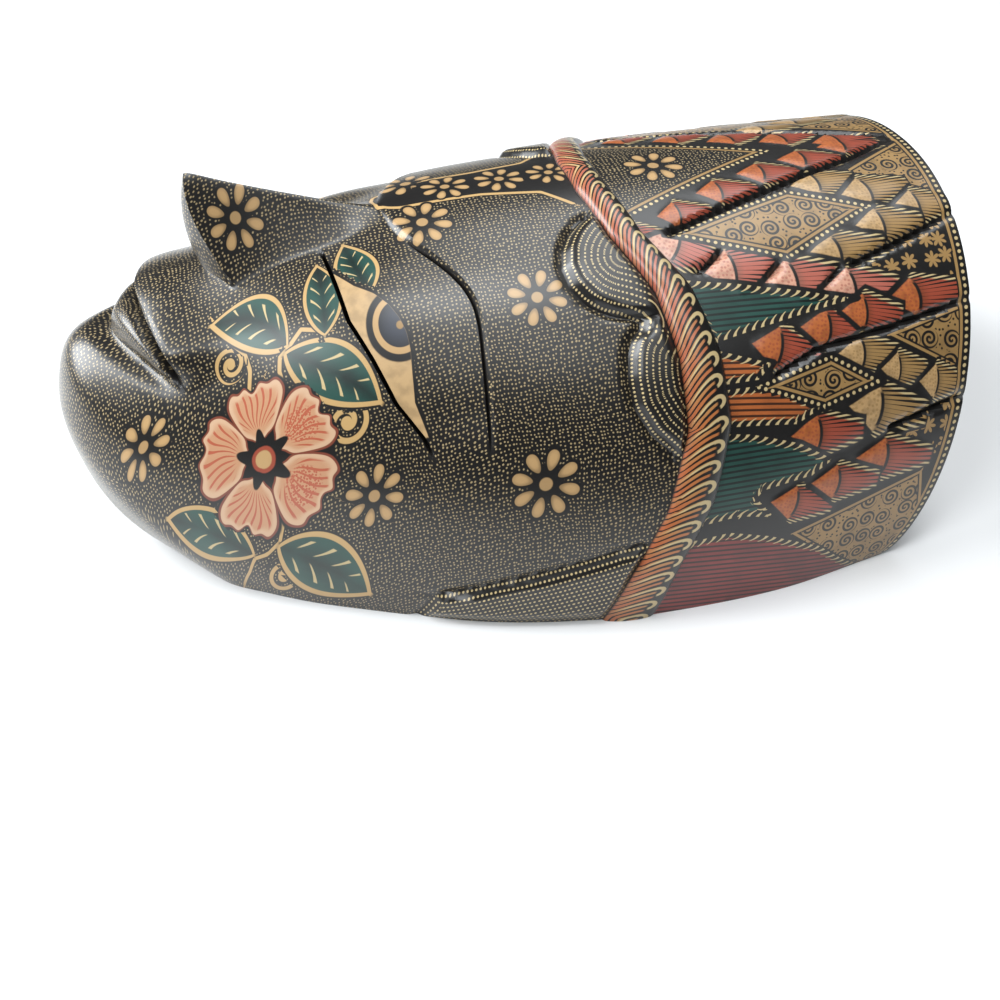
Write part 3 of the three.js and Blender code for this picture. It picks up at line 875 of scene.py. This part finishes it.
def draw_rows(finish, paint, spacing, bead):
    """Rows of beads that follow a carved edge."""
    along, inset = finish.place("motif")
    row = inset / spacing
    across = (row.part() - 0.5) * spacing
    lengthwise = ((along / bead + row.whole() * 0.37).part() - 0.5) * bead
    beads = (across / 0.27).hypot(lengthwise / (bead * 0.27)).step(1.15, 0.8)
    finish.ground()
    finish.put(beads * inset.step(0.2, 0.4), paint.dot)


def draw_band(finish, paint):
    """Curved, overlapping strokes, each with a cream outline that hooks over at the crown side."""
    along, width = finish.place("motif")
    top, _ = finish.place("edge")
    across = width + 0.28
    part = ((along + across * 5 - across * across * 2.2) / 5.1).part()
    finish.colour = paint.stroke
    finish.put(part.step(0.15, 0.75) * 0.8, paint.orange)
    finish.put(top * (part.step(0.1, 0.8) * 0.5 + 0.3), paint.pink)
    finish.put(across.step(0.1, -0.8) * 0.55, paint.red)
    dark = (part * 3 + 0.2).ripple() + finish.noise(260) * 0.2 - (0.38 - across * 0.14)
    finish.put(dark.step(-0.04, 0.05), paint.ground)
    finish.put(across.step(0.52, 0.66) + width.step(-0.92, -1), paint.ground)
    outline = (part - 0.13).size() - (across * 0.03 + 0.06)
    finish.put(outline.step(0.02, -0.02) * across.step(-0.7, -0.1) * across.step(0.72, 0.62), paint.dot)
    hook = ((part - 0.42) * 4.4).hypot((across - 0.6) * 3.6)
    low = across - 0.52 - (part - 0.2).step(0, 0.5) * 0.12 - part * 0.2 + 0.06
    finish.put((hook - 1.2).size().step(0.44, 0.3) * low.step(-0.06, 0.04) * part.step(0.02, 0.08), paint.dot)


def draw_feather(finish, paint, body, tip):
    """A pale tip, a short dark groove, then strands that end in cream along both edges."""
    start, across = finish.place("motif")
    clear, _ = finish.place("edge")
    along, aside = start.at_least(0), across.size()
    inset = (along * 2.38).at_most(1.42 - along) - aside
    specks = finish.cells(start * 17, across * 6, 0.55)[0].step(0.34, 0.2)
    pale = finish.over(specks * 0.6, body * 0.8, finish.mottled(tip, 0.7, 520, 0.35, 0.7))
    past_groove = along + across * across * 0.1 - 0.43
    finish.put(past_groove.step(0.02, -0.02) * inset.step(0.07, 0.14), pale)
    strand = ((across - 0.25 * (along - 0.43)) / (along * 0.8 + 0.62) * 7 + 0.5).ripple()
    drawn = (inset.step(0.8, 0.05) * -0.26 + 0.47 - strand).step(-0.04, 0.06)
    shade = finish.over(past_groove.step(0, 0.14), body, body * 0.45 + tip * 0.15)
    strands = past_groove.step(-0.02, 0.02) * inset.step(-0.04, 0.02) * along.step(1.03, 0.99)
    finish.put(strands * drawn, finish.over(inset.step(0.24, 0.15), paint.dot, shade))
    finish.put(past_groove.size().step(0.028, 0.012) * aside.step(0.62, 0.5), paint.ground)
    finish.put(clear.step(1, 0.7), paint.ground)


def draw_panel(finish, paint, body):
    """A panel of dark parallel lines, with curved cream dashes round its edge."""
    from_tip, across = finish.place("motif")
    inset, edge = finish.place("edge")
    finish.colour = finish.mottled(body, 0.7, 120, 0.35, 0.7)
    finish.put((across / PANEL_LINE_SPACING).ripple().step(0.24, 0.36), body * 0.1)
    finish.put(inset.step(1.9, 1.6), paint.ground)
    dash = ((edge / DASH_SPACING + inset * inset * 0.17).ripple() + inset * 0.06).step(0.25, 0.17)
    finish.put(dash * inset.step(0.2, 0.35) * inset.step(2.3, 2.1) * from_tip.step(1, 2), paint.dot)


def draw_field_edge(finish, paint, beaded):
    """A gold line inside the black edge of a field, with a row of beads outside it where asked."""
    inset, edge = finish.place("edge")
    shift = 1.35 if beaded else 0
    finish.put(inset.step(1.75 + shift, 1.6 + shift), paint.ground)
    finish.put((inset - 0.8 - shift).size().step(0.45, 0.33), paint.gold)
    if beaded:
        finish.beads(edge, inset - 0.75, 0.56, 0.42)


def draw_scrolls(finish, paint, beaded=False):
    """Black scrolls on gold."""
    u, v = finish.place("motif")
    distance, du, dv, chance = finish.cells(u / 6, v / 6, 0.35)
    hand = chance.above(0.5) * 2 - 1
    wound = distance * 4.4 - (dv * hand).turn(du) * (0.5 / math.pi) + chance * 3
    finish.colour = finish.mottled(paint.gold, 0.7, 200, 0.4, 0.75)
    finish.put(wound.ripple().step(0.3, 0.22) * distance.step(0.46, 0.42), paint.ground)
    specks = finish.cells(u / 1.6, v / 1.6, 0.9)[0].step(0.24, 0.16)
    finish.put(specks * distance.step(0.48, 0.52), paint.ground)
    draw_field_edge(finish, paint, beaded)


def draw_stars(finish, paint):
    """Gold stars on black."""
    u, v = finish.place("motif")
    distance, du, dv, chance = finish.cells(u / 5.6, v / 5.6, 0.4)
    points = ((dv.turn(du) + chance * 6) * 3.5).cosine().size()
    finish.ground()
    finish.put((distance - points * 0.3 - 0.13).step(0.03, -0.02), paint.gold)


def draw_border(finish, paint):
    """The border at the crown's end: a row of beads and a gold line."""
    edge, inset = finish.place("motif")
    finish.ground()
    finish.beads(edge, inset - 1.3, 0.6, 0.45)
    finish.put((inset - 2.9).size().step(0.5, 0.38), paint.gold)


def draw_wedge(finish, paint):
    """A black wedge with fine dots, edged with a gold line and beads."""
    finish.dots()
    draw_field_edge(finish, paint, True)


def draw_bare_wood(finish, paint):
    """Pale, unpainted wood with darker fibres."""
    finish.matt(0.62, 0.6)
    fibres = finish.noise(1, 5, BARE_FIBRES).step(0.4, 0.62)
    finish.colour = finish.over(fibres, paint.wood, paint.wood * 0.6)


# ---------------------------------------------------------------- laying the paint

def read(items, label, width=1, kind=np.float32):
    """One value, or one row of values, of each item of a mesh."""
    values = np.empty(len(items) * width, kind)
    items.foreach_get(label, values)
    values = values.reshape(-1, width) if width > 1 else values
    return values.astype(float) if kind is np.float32 else values


def between(values, low, high):
    return (values > low) & (values < high)


class Paintwork:
    """Where each face of the mask lies, and the finish and layouts laid on it."""

    LAYERS = ("dots", "motif", "edge")

    def __init__(self, mask, paint):
        self.mesh, self.paint, self.spread, self.made = mask.data, paint, Spread(), {}
        station, angle, self.round, self.lift = (
            read(self.mesh.attributes[label].data, "value") for label in ("station", "angle", "round", "lift"))
        self.point = read(self.mesh.vertices, "co", 3) / MM
        self.station, self.angle, on_arch = station, angle, np.clip(station, 0, LAST_STATION)
        self.length, self.girth = self.spread.at(on_arch, -angle)
        self.away, self.x = np.abs(angle), arch(OUTSIDE, on_arch, angle)[..., 0]
        self.vertex = read(self.mesh.loops, "vertex_index", kind=np.int32)
        self.totals = read(self.mesh.polygons, "loop_total", kind=np.int32)
        self.finish = read(self.mesh.polygons, "material_index", kind=np.int32)
        self.first = np.concatenate(([0], np.cumsum(self.totals)[:-1]))
        self.face = np.repeat(np.arange(len(self.totals)), self.totals)
        self.layout = {}
        for label in self.LAYERS:
            layer = self.mesh.uv_layers.get(label) or self.mesh.uv_layers.new(name=label)
            self.layout[label] = read(layer.uv, "vector", 2)
        self.inner = (self.middle(np.minimum(station, 0)) < -0.01) | (self.middle(self.point[:, 2]) < 1e-4)
        self.wall = ~self.inner & (self.middle(station) > LAST_STATION)
        self.outer = ~self.inner & ~self.wall
        self.band = band_place(self.middle(self.x), self.middle(self.away))

    def middle(self, values):
        """The mean of a value over each face's corners."""
        return np.add.reduceat(values[self.vertex], self.first) / self.totals

    def drawn(self, name, draw, *details):
        """The material of a name, drawn when it is first asked for."""
        if name not in self.made:
            finish = Finish(name, self.paint)
            draw(finish, self.paint, *details)
            self.made[name] = finish.done()
        return self.made[name]

    def lay(self, faces, material, motif=None, edge=None):
        """Gives the faces a finish, and lays its motif and edge layouts over them."""
        if not faces.any():
            raise RuntimeError(f"no face takes the finish {material.name}")
        if self.mesh.materials.find(material.name) < 0:
            self.mesh.materials.append(material)
        self.finish[faces] = self.mesh.materials.find(material.name)
        corners = faces[self.face]
        for label, pair in (("motif", motif), ("edge", edge)):
            if pair is not None:
                values = [p if np.shape(p) == self.vertex.shape
                          else np.broadcast_to(p, self.length.shape)[self.vertex] for p in pair]
                self.layout[label][corners] = np.stack(values, 1)[corners]

    def lay_round(self, faces, material, place, middle, reach, edge, margin=1.25, start=0, hand=1):
        """Lays a round motif over the faces near its middle, turned and mirrored where asked."""
        near = np.hypot(*(self.middle(p) - m for p, m in zip(place, middle))) < margin * reach[0]
        u, v = ((p - m) / r for p, m, r in zip(place, middle, reach))
        cosine, sine = math.cos(math.radians(start)), math.sin(math.radians(start))
        self.lay(faces & near, material, (cosine * u + sine * v, hand * (cosine * v - sine * u)), edge)

    def beside(self, outline, x, girth):
        """Distance inside an outline and along it, each face measured from its own nearest edge."""
        starts = np.array(outline)
        ends = np.roll(starts, -1, 0)
        lengths = np.hypot(*(ends - starts).T)
        begun = np.concatenate(((0,), np.cumsum(lengths)[:-1]))
        ux, uy = ((ends - starts) / lengths[:, None]).T
        hand = np.sign(np.sum(starts[:, 0] * ends[:, 1] - ends[:, 0] * starts[:, 1]))
        middle = self.middle(x), self.middle(girth)

        def places(px, py):
            dx, dy = px[:, None] - starts[:, 0], py[:, None] - starts[:, 1]
            return dx * ux + dy * uy, hand * (ux * dy - uy * dx)

        along, inset = places(*middle)
        past = np.maximum(-along, along - lengths).clip(0)
        side = np.argmin(np.hypot(past, inset) + 0.01 * inset, 1)[self.face]
        along, inset = (np.take_along_axis(place, side[:, None], 1)[:, 0]
                        for place in places(x[self.vertex], girth[self.vertex]))
        past = np.maximum(-along, along - lengths[side]).clip(0)
        within = (inside_outline(outline, *middle)[0] > 0)[self.face]
        inset = np.where(past > 0, np.where(within, 1, -1) * np.hypot(inset, past), inset)
        return inset, along + begun[side]

    def lay_dots(self):
        """Lays the dots by length and girth, and straight on where that would draw them out."""
        values = np.stack((self.length, self.round), 1)[self.vertex]
        following = np.arange(len(self.vertex)) + 1
        following[self.first + self.totals - 1] = self.first
        (u, v), (next_u, next_v) = values.T, values[following].T
        spread = np.abs(np.add.reduceat(u * next_v - next_u * v, self.first)) / 2
        areas = read(self.mesh.polygons, "area") / MM ** 2
        facing = np.abs(read(self.mesh.polygons, "normal", 3)[:, 0])
        steep = (spread < DRAWN_OUT * areas) & (facing > STEEP)
        nose_side = between(self.middle(self.lift), 0.01, 0.99) & (self.middle(self.away) < 15)
        point = self.point
        for faces, place in ((steep, point[:, 1:]), (nose_side, np.stack((point[:, 2], np.abs(point[:, 1])), 1))):
            corners = (faces & self.outer)[self.face]
            values[corners] = place[self.vertex[corners]]
        self.layout["dots"][:] = values

    def save(self):
        self.mesh.polygons.foreach_set("material_index", self.finish)
        for label, values in self.layout.items():
            self.mesh.uv_layers[label].uv.foreach_set("vector", values.astype(np.float32).ravel())
        self.mesh.update()


def blossom_place(length, girth):
    """Place on the blossom, with its uneven petals spread evenly at a reach of 1."""
    dx, dy = length - BLOSSOM[0], girth - BLOSSOM[1]
    turns, reach = zip(*BLOSSOM_PETALS)
    turns = (turns[-1] - 360, *turns, turns[0] + 360)
    reach = (reach[-1], *reach, reach[0])
    turn = np.degrees(np.arctan2(dy, dx))
    even = np.radians(np.interp(turn, turns, np.arange(-1, 6) * 72.0))
    far = np.hypot(dx, dy) / np.interp(turn, turns, reach)
    return far * np.cos(even), far * np.sin(even)


def petal_reach(u, v):
    """How far out of the blossom's petals or star a place is: 1 at their edge."""
    far, turn = np.hypot(u, v), np.arctan2(v, u)
    fold = ((turn * 2.5 / np.pi + 0.5) % 1 - 0.5) * np.pi / 2.5
    px, py = far * np.cos(fold), far * np.sin(fold)
    across = np.abs(py / np.maximum(px * 0.46 + 0.12, 0.05)) ** 2.4
    return np.where(far < 0.45, 0, np.abs((px - 0.63) / 0.37) ** 2.6 + across)


def edge_points(edge, spread, low, high):
    """A carved edge as points at (L, G), between two angles."""
    away = np.linspace(low, high, 40)
    length, girth = spread.at(station_at(look_up(edge, away), away), away)
    return list(zip(length, girth))


def paint_face(mask, paint):
    """Lays the dotted ground and the flowers, leaves, eye and hair of the face."""
    work = Paintwork(mask, paint)
    work.lay_dots()
    length, girth = work.length, np.abs(work.girth)
    mid_x, mid_away, mid_lift, mid_station = map(work.middle, (work.x, work.away, work.lift, work.station))
    face = work.outer & (work.band < 0)
    work.lay(work.outer, work.drawn("dotted_lacquer", draw_dots))
    lip = between((mouth_line(mid_away) - mid_station) * STATION_SPAN, 0, lower_lip(mid_away) + 1)
    lip &= mid_away < MOUTH["corner"]
    work.lay(work.outer & lip, work.drawn("lip_lacquer", draw_dots, 1.35))
    work.lay(work.inner, work.drawn("bare_wood", draw_bare_wood))
    work.lay(work.wall, work.drawn("plain_lacquer", draw_lacquer))

    mirrored = np.abs(work.girth - PANEL_MIDDLE) + PANEL_MIDDLE
    _, aside = along_line(GOLD_LINE, length, mirrored)
    within, _ = inside_outline((*GOLD_LINE, (24, 14), (24, PANEL_MIDDLE - 1)), length, mirrored)
    for points in STEMS:
        _, other = along_line(points, length, girth)
        aside = np.where(np.abs(other) < np.abs(aside), other, aside)
    open_end = np.maximum(within, length > GOLD_LINE[0][0])
    lines = (aside, np.where(mirrored - PANEL_MIDDLE < 2, open_end, within))
    traced = (work.middle(np.abs(aside)) < STEM_REACH) | (work.middle(lines[1]) > -1)
    work.lay(face & traced, work.drawn("gold_line", draw_stems), edge=lines)

    daisy = work.drawn("daisy_paint", draw_daisy)
    for *middle, reach_l, reach_g in DAISIES:
        work.lay_round(face, daisy, (length, girth), middle, (reach_l, reach_g), lines)
    *middle, radius = NOSE_DAISY
    work.lay_round(face & (mid_away < 16) & (mid_lift > 0.99), daisy, (work.point[:, 0], work.point[:, 2]),
                   middle, (radius, radius), OFF_LINES, 1.2)
    for *middle, radius in CENTRE_DAISIES:
        work.lay_round(face, daisy, (length, work.girth), middle, (radius, radius), lines)

    u, v = blossom_place(length, girth)
    petal = work.middle(petal_reach(u, v))
    work.lay(face & (petal < BLOSSOM_REACH), work.drawn("peach_blossom", draw_blossom), (u, v), lines)
    around = face & (petal >= PETAL_REACH)
    curl, leaf = work.drawn("gold_curl", draw_curl), work.drawn("green_leaf", draw_leaf)
    for middle, radius, start, hand in CURLS:
        work.lay_round(around, curl, (length, girth), middle, (radius, radius), lines, 1.3, start, hand)
    for root, tip, half, bow in (*LEAVES, EYE_LEAF):
        along, across = feather_place((None, root, tip, half / FEATHER_FULLNESS), length, girth)
        across = across - bow / half * 4 * along * (1 - along) * np.sign(tip[0] - root[0])
        middle = work.middle(along)
        near = work.middle(np.abs(across)) * half < leaf_half(np.clip(middle, 0, 1)) * half + 1.7
        near &= between(middle, -0.06, 1.05) & ((work.middle(work.girth) > 0) | (root != EYE_LEAF[0]))
        work.lay(around & near, leaf, (along, across), lines)

    eye_l, eye_g, half_g, half_l = IRIS
    inset, edge = inside_outline(EYE, length, girth)
    work.lay(face & (work.middle(inset) > -1.6) & (mid_x > look_up(SLIT_LINE, mid_away)),
             work.drawn("eye_paint", draw_eye), ((length - eye_l) / half_l, (girth - eye_g) / half_g), (inset, edge))

    # Plain black without dots along the brow lines, the mouth's corners and the eye slits: partly black paint and
    # partly painted shade in the grooves.
    cut = work.drawn("slit_lacquer", draw_lacquer)
    for off, (half, *ends) in ((mid_x - brow_line(mid_away), BROW_BLACK_AND_SHADE),
                               ((mid_station - mouth_line(mid_away)) * STATION_SPAN, MOUTH_BLACK_AND_SHADE),
                               (mid_x - look_up(SLIT_LINE, mid_away), SLIT_BLACK_AND_SHADE)):
        work.lay(face & (np.abs(off) < half) & between(mid_away, *ends), cut)

    for name, table, ends, *spacing in BEAD_ROWS:
        along, aside = along_line(edge_points(table, work.spread, *ends), length, girth)
        behind = face & (mid_x > look_up(table, mid_away) - 0.4) & (mid_away > ends[0])
        work.lay(behind, work.drawn(name, draw_rows, *spacing), (along, -aside))
    work.save()


def paint_crown(mask, paint):
    """Lays the band's strokes, and the crown's feathers, panels and fields."""
    work = Paintwork(mask, paint)
    x, girth = work.x, np.abs(work.girth)
    crown = work.outer & (work.band > 0)
    work.lay(crown, work.drawn("crown_lacquer", draw_lacquer))

    def lay_outline(outline, material, origin=(0, 0), end=(1, 0), across=girth):
        faces = crown & (work.middle(inside_outline(outline, x, across)[0]) > -0.2)
        work.lay(faces, material, place_between(origin, end, x, across), work.beside(outline, x, across))

    lay_outline(CROWN_WEDGE, work.drawn("crown_wedge", draw_wedge), across=work.girth)
    *middle, radius = CROWN_DAISY
    work.lay_round(crown, work.drawn("crown_daisy", draw_daisy), (x, work.girth), middle, (radius, radius), OFF_LINES)
    for outlines, name, draw in ((SCROLL_FIELDS, "gold_scrolls", draw_scrolls),
                                 (STAR_FIELDS, "gold_stars", draw_stars)):
        for outline in outlines:
            lay_outline(outline, work.drawn(name, draw))

    clear = np.full(len(x), 9.0)
    for outline in (*(panel[1] for panel in PANELS), *SCROLL_DIAMONDS):
        clear = np.minimum(clear, -inside_outline(outline, x, girth)[0])
    for points in CROWN_CUTS:
        along, aside = along_line(points, x, girth)
        beside = between(along, 1, math.dist(points[0], points[-1]))
        clear = np.where(beside, np.minimum(clear, np.abs(aside)), clear)
    for place, feather in enumerate(FEATHERS):
        colour = feather[0]
        along, across = feather_place(feather, x, girth)
        middle = work.middle(along)
        faces = crown & between(middle, -0.01, 1.04) & (work.middle(np.abs(across)) < feather_half(middle) + 0.1)
        gaps = [feather_gap(other, x, girth) for other in FEATHERS[place + 1:]]
        colours = getattr(paint, colour), getattr(paint, FEATHER_TIPS[colour])
        work.lay(faces, work.drawn(f"{colour}_feather", draw_feather, *colours), (along, across),
                 (np.min([clear, *gaps], 0), 0))
    for colour, outline, base, tip in PANELS:
        lay_outline(outline, work.drawn(f"{colour}_panel", draw_panel, getattr(paint, colour)), tip, base)
    for points in CROWN_CUTS:
        along, aside = map(work.middle, np.abs(along_line(points, x, girth)))
        inside = between(along, 1, math.dist(points[0], points[-1]) - 0.5) & (aside < 0.7)
        work.lay(crown & inside, work.drawn("cut_black", draw_matt))
    for outline in SCROLL_DIAMONDS:
        lay_outline(outline, work.drawn("beaded_scrolls", draw_scrolls, True))

    end, _ = work.spread.at(np.full(len(x), float(LAST_STATION)), work.angle)
    inset = end - work.length
    work.lay(crown & (work.middle(inset) < 3.6), work.drawn("crown_border", draw_border), (girth, inset))
    along, _ = along_line(edge_points(BAND_MIDDLE, work.spread, 0, 90), work.length, girth)
    top = 1 - rise(35, 80, girth)
    work.lay(work.outer & (np.abs(work.band) < 1), work.drawn("stroked_band", draw_band),
             (along, band_place(x, work.away)), (top, 0))
    work.save()


# ---------------------------------------------------------------- settings

def millimetres(name, description, value):
    return FloatProperty(name=name, description=description, default=value * MM, unit="LENGTH", min=0.0)


def colour(name, description, value):
    return FloatVectorProperty(name=name, description=description, default=value, subtype="COLOR", size=3,
                               min=0.0, max=1.0)


class MaskCarving(PropertyGroup):
    brow_step: millimetres("Brow step", "How far the eye side lies below the brow", 1.4)
    hair_rise: millimetres("Hair rise", "How far the hair lobes stand over the forehead", 1.8)
    sideburn_rise: millimetres("Sideburn rise", "How far the sideburns stand over the cheeks", 1.6)
    band_rise: millimetres("Band rise", "How far the band stands over the head", 2.4)
    feather_rise: millimetres("Feather rise", "Height of the low pillow under each feather", 0.45)
    cut_depth: millimetres("Cut depth", "Depth of the cuts between the rows of feathers", 1.9)
    slit_depth: millimetres("Slit depth", "Depth of the eye slits", 3.2)


class MaskPaint(PropertyGroup):
    ground: colour("Ground", "The black lacquer", (0.0042, 0.0034, 0.0029))
    dot: colour("Dots", "The dots, beads and feather ends", (0.52, 0.40, 0.20))
    speck: colour("Ground dots", "The small dots of the ground", (0.35, 0.265, 0.14))
    daisy: colour("Daisies", "The petals of the small flowers", (0.47, 0.295, 0.13))
    petal: colour("Blossom", "The petals of the large flower", (0.58, 0.375, 0.235))
    blush: colour("Feather tips", "The tips of the paler red feathers", (0.60, 0.31, 0.21))
    petal_stroke: colour("Petal strokes", "The strokes drawn on the large petals", (0.42, 0.10, 0.05))
    gold: colour("Gold", "The lines, tendrils and gold fields", (0.31, 0.185, 0.066))
    line: colour("Gold lines", "The outlines, stems and tendrils of the face", (0.50, 0.32, 0.13))
    eye: colour("Eye", "The gold of the eyes", (0.50, 0.33, 0.16))
    iris: colour("Iris", "The dark blue of the eyes", (0.03, 0.035, 0.05))
    green: colour("Green", "The leaves and green panels", (0.012, 0.062, 0.048))
    red: colour("Red", "The red feathers", (0.30, 0.055, 0.027))
    orange: colour("Orange", "The orange feathers and panels", (0.42, 0.115, 0.028))
    stroke: colour("Band strokes", "The paler strokes of the band", (0.42, 0.225, 0.075))
    pink: colour("Pink", "The paler red feathers", (0.40, 0.11, 0.075))
    maroon: colour("Maroon", "The lined panels at the rim", (0.22, 0.025, 0.02))
    wood: colour("Wood", "The bare wood behind", (0.42, 0.27, 0.14))
    dot_spacing: millimetres("Dot spacing", "Distance between the dots of the ground", 1.04)
    dot_radius: millimetres("Dot radius", "Radius of the dots of the ground", 0.215)


class MaskStage(PropertyGroup):
    floor: colour("Floor", "The plain floor", (0.84, 0.84, 0.84))
    key: FloatProperty(name="Key light", description="Strength of the soft window light", default=21.0, min=0.0,
                       unit="POWER")
    sky: FloatProperty(name="Room light", description="Strength of the light from all round", default=0.11, min=0.0)


# ---------------------------------------------------------------- operators

class MASK_OT_carve(Operator):
    """Carve the wood: face, band, crown, hollow and rim"""
    bl_idname = "mask.carve"
    bl_label = "Carve the wood"

    def execute(self, context):
        mask = build_mask(context.scene.mask_carving)
        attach(mask, "root")
        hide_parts("carved_mask")
        return {"FINISHED"}


class MASK_OT_paint_face(Operator):
    """Paint the face: dotted ground, flowers, leaves, eyes and hair"""
    bl_idname = "mask.paint_face"
    bl_label = "Paint the face"

    def execute(self, context):
        paint_face(bpy.data.objects[MASK], context.scene.mask_paint)
        return {"FINISHED"}


class MASK_OT_paint_crown(Operator):
    """Paint the crown: band, feathers, panels, scrolls and stars"""
    bl_idname = "mask.paint_crown"
    bl_label = "Paint the crown"

    def execute(self, context):
        paint_crown(bpy.data.objects[MASK], context.scene.mask_paint)
        return {"FINISHED"}


class MASK_OT_stage(Operator):
    """Set the floor, the lights and the camera"""
    bl_idname = "mask.stage"
    bl_label = "Set the stage"

    def execute(self, context):
        build_stage(context)
        return {"FINISHED"}


# Square lights that face the mask, as (name, place, side, share of the key light), in metres.
LIGHTS = (("window", (-0.90, 0.364, 0.705), 0.72, 1), ("ceiling", (0.38, 0.34, 1.08), 0.66, 0.28),
          ("lamp", (0.11, -0.626, 1.018), 0.4, 0.07), ("overhead", (0.05, -0.14, 1.14), 0.36, 0.21),
          ("side_lamp", (-0.62, -0.34, 0.90), 0.34, 0.21))
LIGHT_TINT, SKY_TINT = (0.94, 0.975, 1), (0.97, 0.985, 1)
# The camera's place in metres, its turn and tilt in degrees, and its lens in millimetres.
CAMERA_PLACE, CAMERA_TURNS = (-0.0655, -0.2544, 0.2196), (-15, 42.86)
FOCAL_LENGTH, SENSOR_WIDTH = 38.6, 36


def add_light(name, place, side, power):
    light = bpy.data.lights.new(name, "AREA")
    light.shape = "RECTANGLE"
    light.size, light.size_y = side, side
    light.energy, light.color = power, LIGHT_TINT
    lamp = bpy.data.objects.new(name, light)
    lamp.location = place
    lamp.rotation_euler = (-Vector(place)).to_track_quat("-Z", "Y").to_euler()
    bpy.context.scene.collection.objects.link(lamp)


def build_stage(context):
    stage = context.scene.mask_stage
    bpy.ops.object.select_all(action="DESELECT")
    bpy.ops.mesh.primitive_plane_add(size=6, location=(0, 0, 0))
    floor = bpy.context.object
    floor.name = "floor"
    cloth = bpy.data.materials.new("plain_floor")
    main_node(cloth, "BSDF_PRINCIPLED", {"Base Color": stage.floor, "Roughness": 0.9, "Specular IOR Level": 0.1})
    floor.data.materials.append(cloth)
    world = bpy.data.worlds.new("room")
    main_node(world, "BACKGROUND", {0: SKY_TINT, 1: stage.sky})
    context.scene.world = world
    for name, place, size, share in LIGHTS:
        add_light(name, place, size, share * stage.key)
    context.scene.view_settings.view_transform = "Standard"

    turn, tilt = map(math.radians, CAMERA_TURNS)
    back = Vector((math.sin(turn) * math.cos(tilt), -math.cos(turn) * math.cos(tilt), math.sin(tilt)))
    lens = bpy.data.cameras.new("camera")
    lens.lens, lens.sensor_width, lens.clip_start = FOCAL_LENGTH, SENSOR_WIDTH, 0.01
    camera = bpy.data.objects.new("camera", lens)
    camera.location = CAMERA_PLACE
    camera.rotation_euler = (-back).to_track_quat("-Z", "Y").to_euler()
    context.scene.collection.objects.link(camera)
    context.scene.camera = camera


class MASK_PT_panel(Panel):
    """The steps that make the mask"""
    bl_idname = "MASK_PT_panel"
    bl_label = "Batik painted mask"
    bl_space_type = "VIEW_3D"
    bl_region_type = "UI"
    bl_category = "Mask"

    def draw(self, context):
        column = self.layout.column()
        for step in STEPS:
            column.operator(step.bl_idname)


STEPS = (MASK_OT_carve, MASK_OT_paint_face, MASK_OT_paint_crown, MASK_OT_stage)
CLASSES = (MaskCarving, MaskPaint, MaskStage, *STEPS, MASK_PT_panel)


def register():
    for cls in CLASSES:
        bpy.utils.register_class(cls)
    bpy.types.Scene.mask_carving = PointerProperty(type=MaskCarving)
    bpy.types.Scene.mask_paint = PointerProperty(type=MaskPaint)
    bpy.types.Scene.mask_stage = PointerProperty(type=MaskStage)


def unregister():
    for name in ("mask_carving", "mask_paint", "mask_stage"):
        delattr(bpy.types.Scene, name)
    for cls in reversed(CLASSES):
        bpy.utils.unregister_class(cls)


def main():
    register()
    bpy.ops.mask.carve()
    bpy.ops.mask.paint_face()
    bpy.ops.mask.paint_crown()
    bpy.ops.mask.stage()


if __name__ == "__main__":
    main()
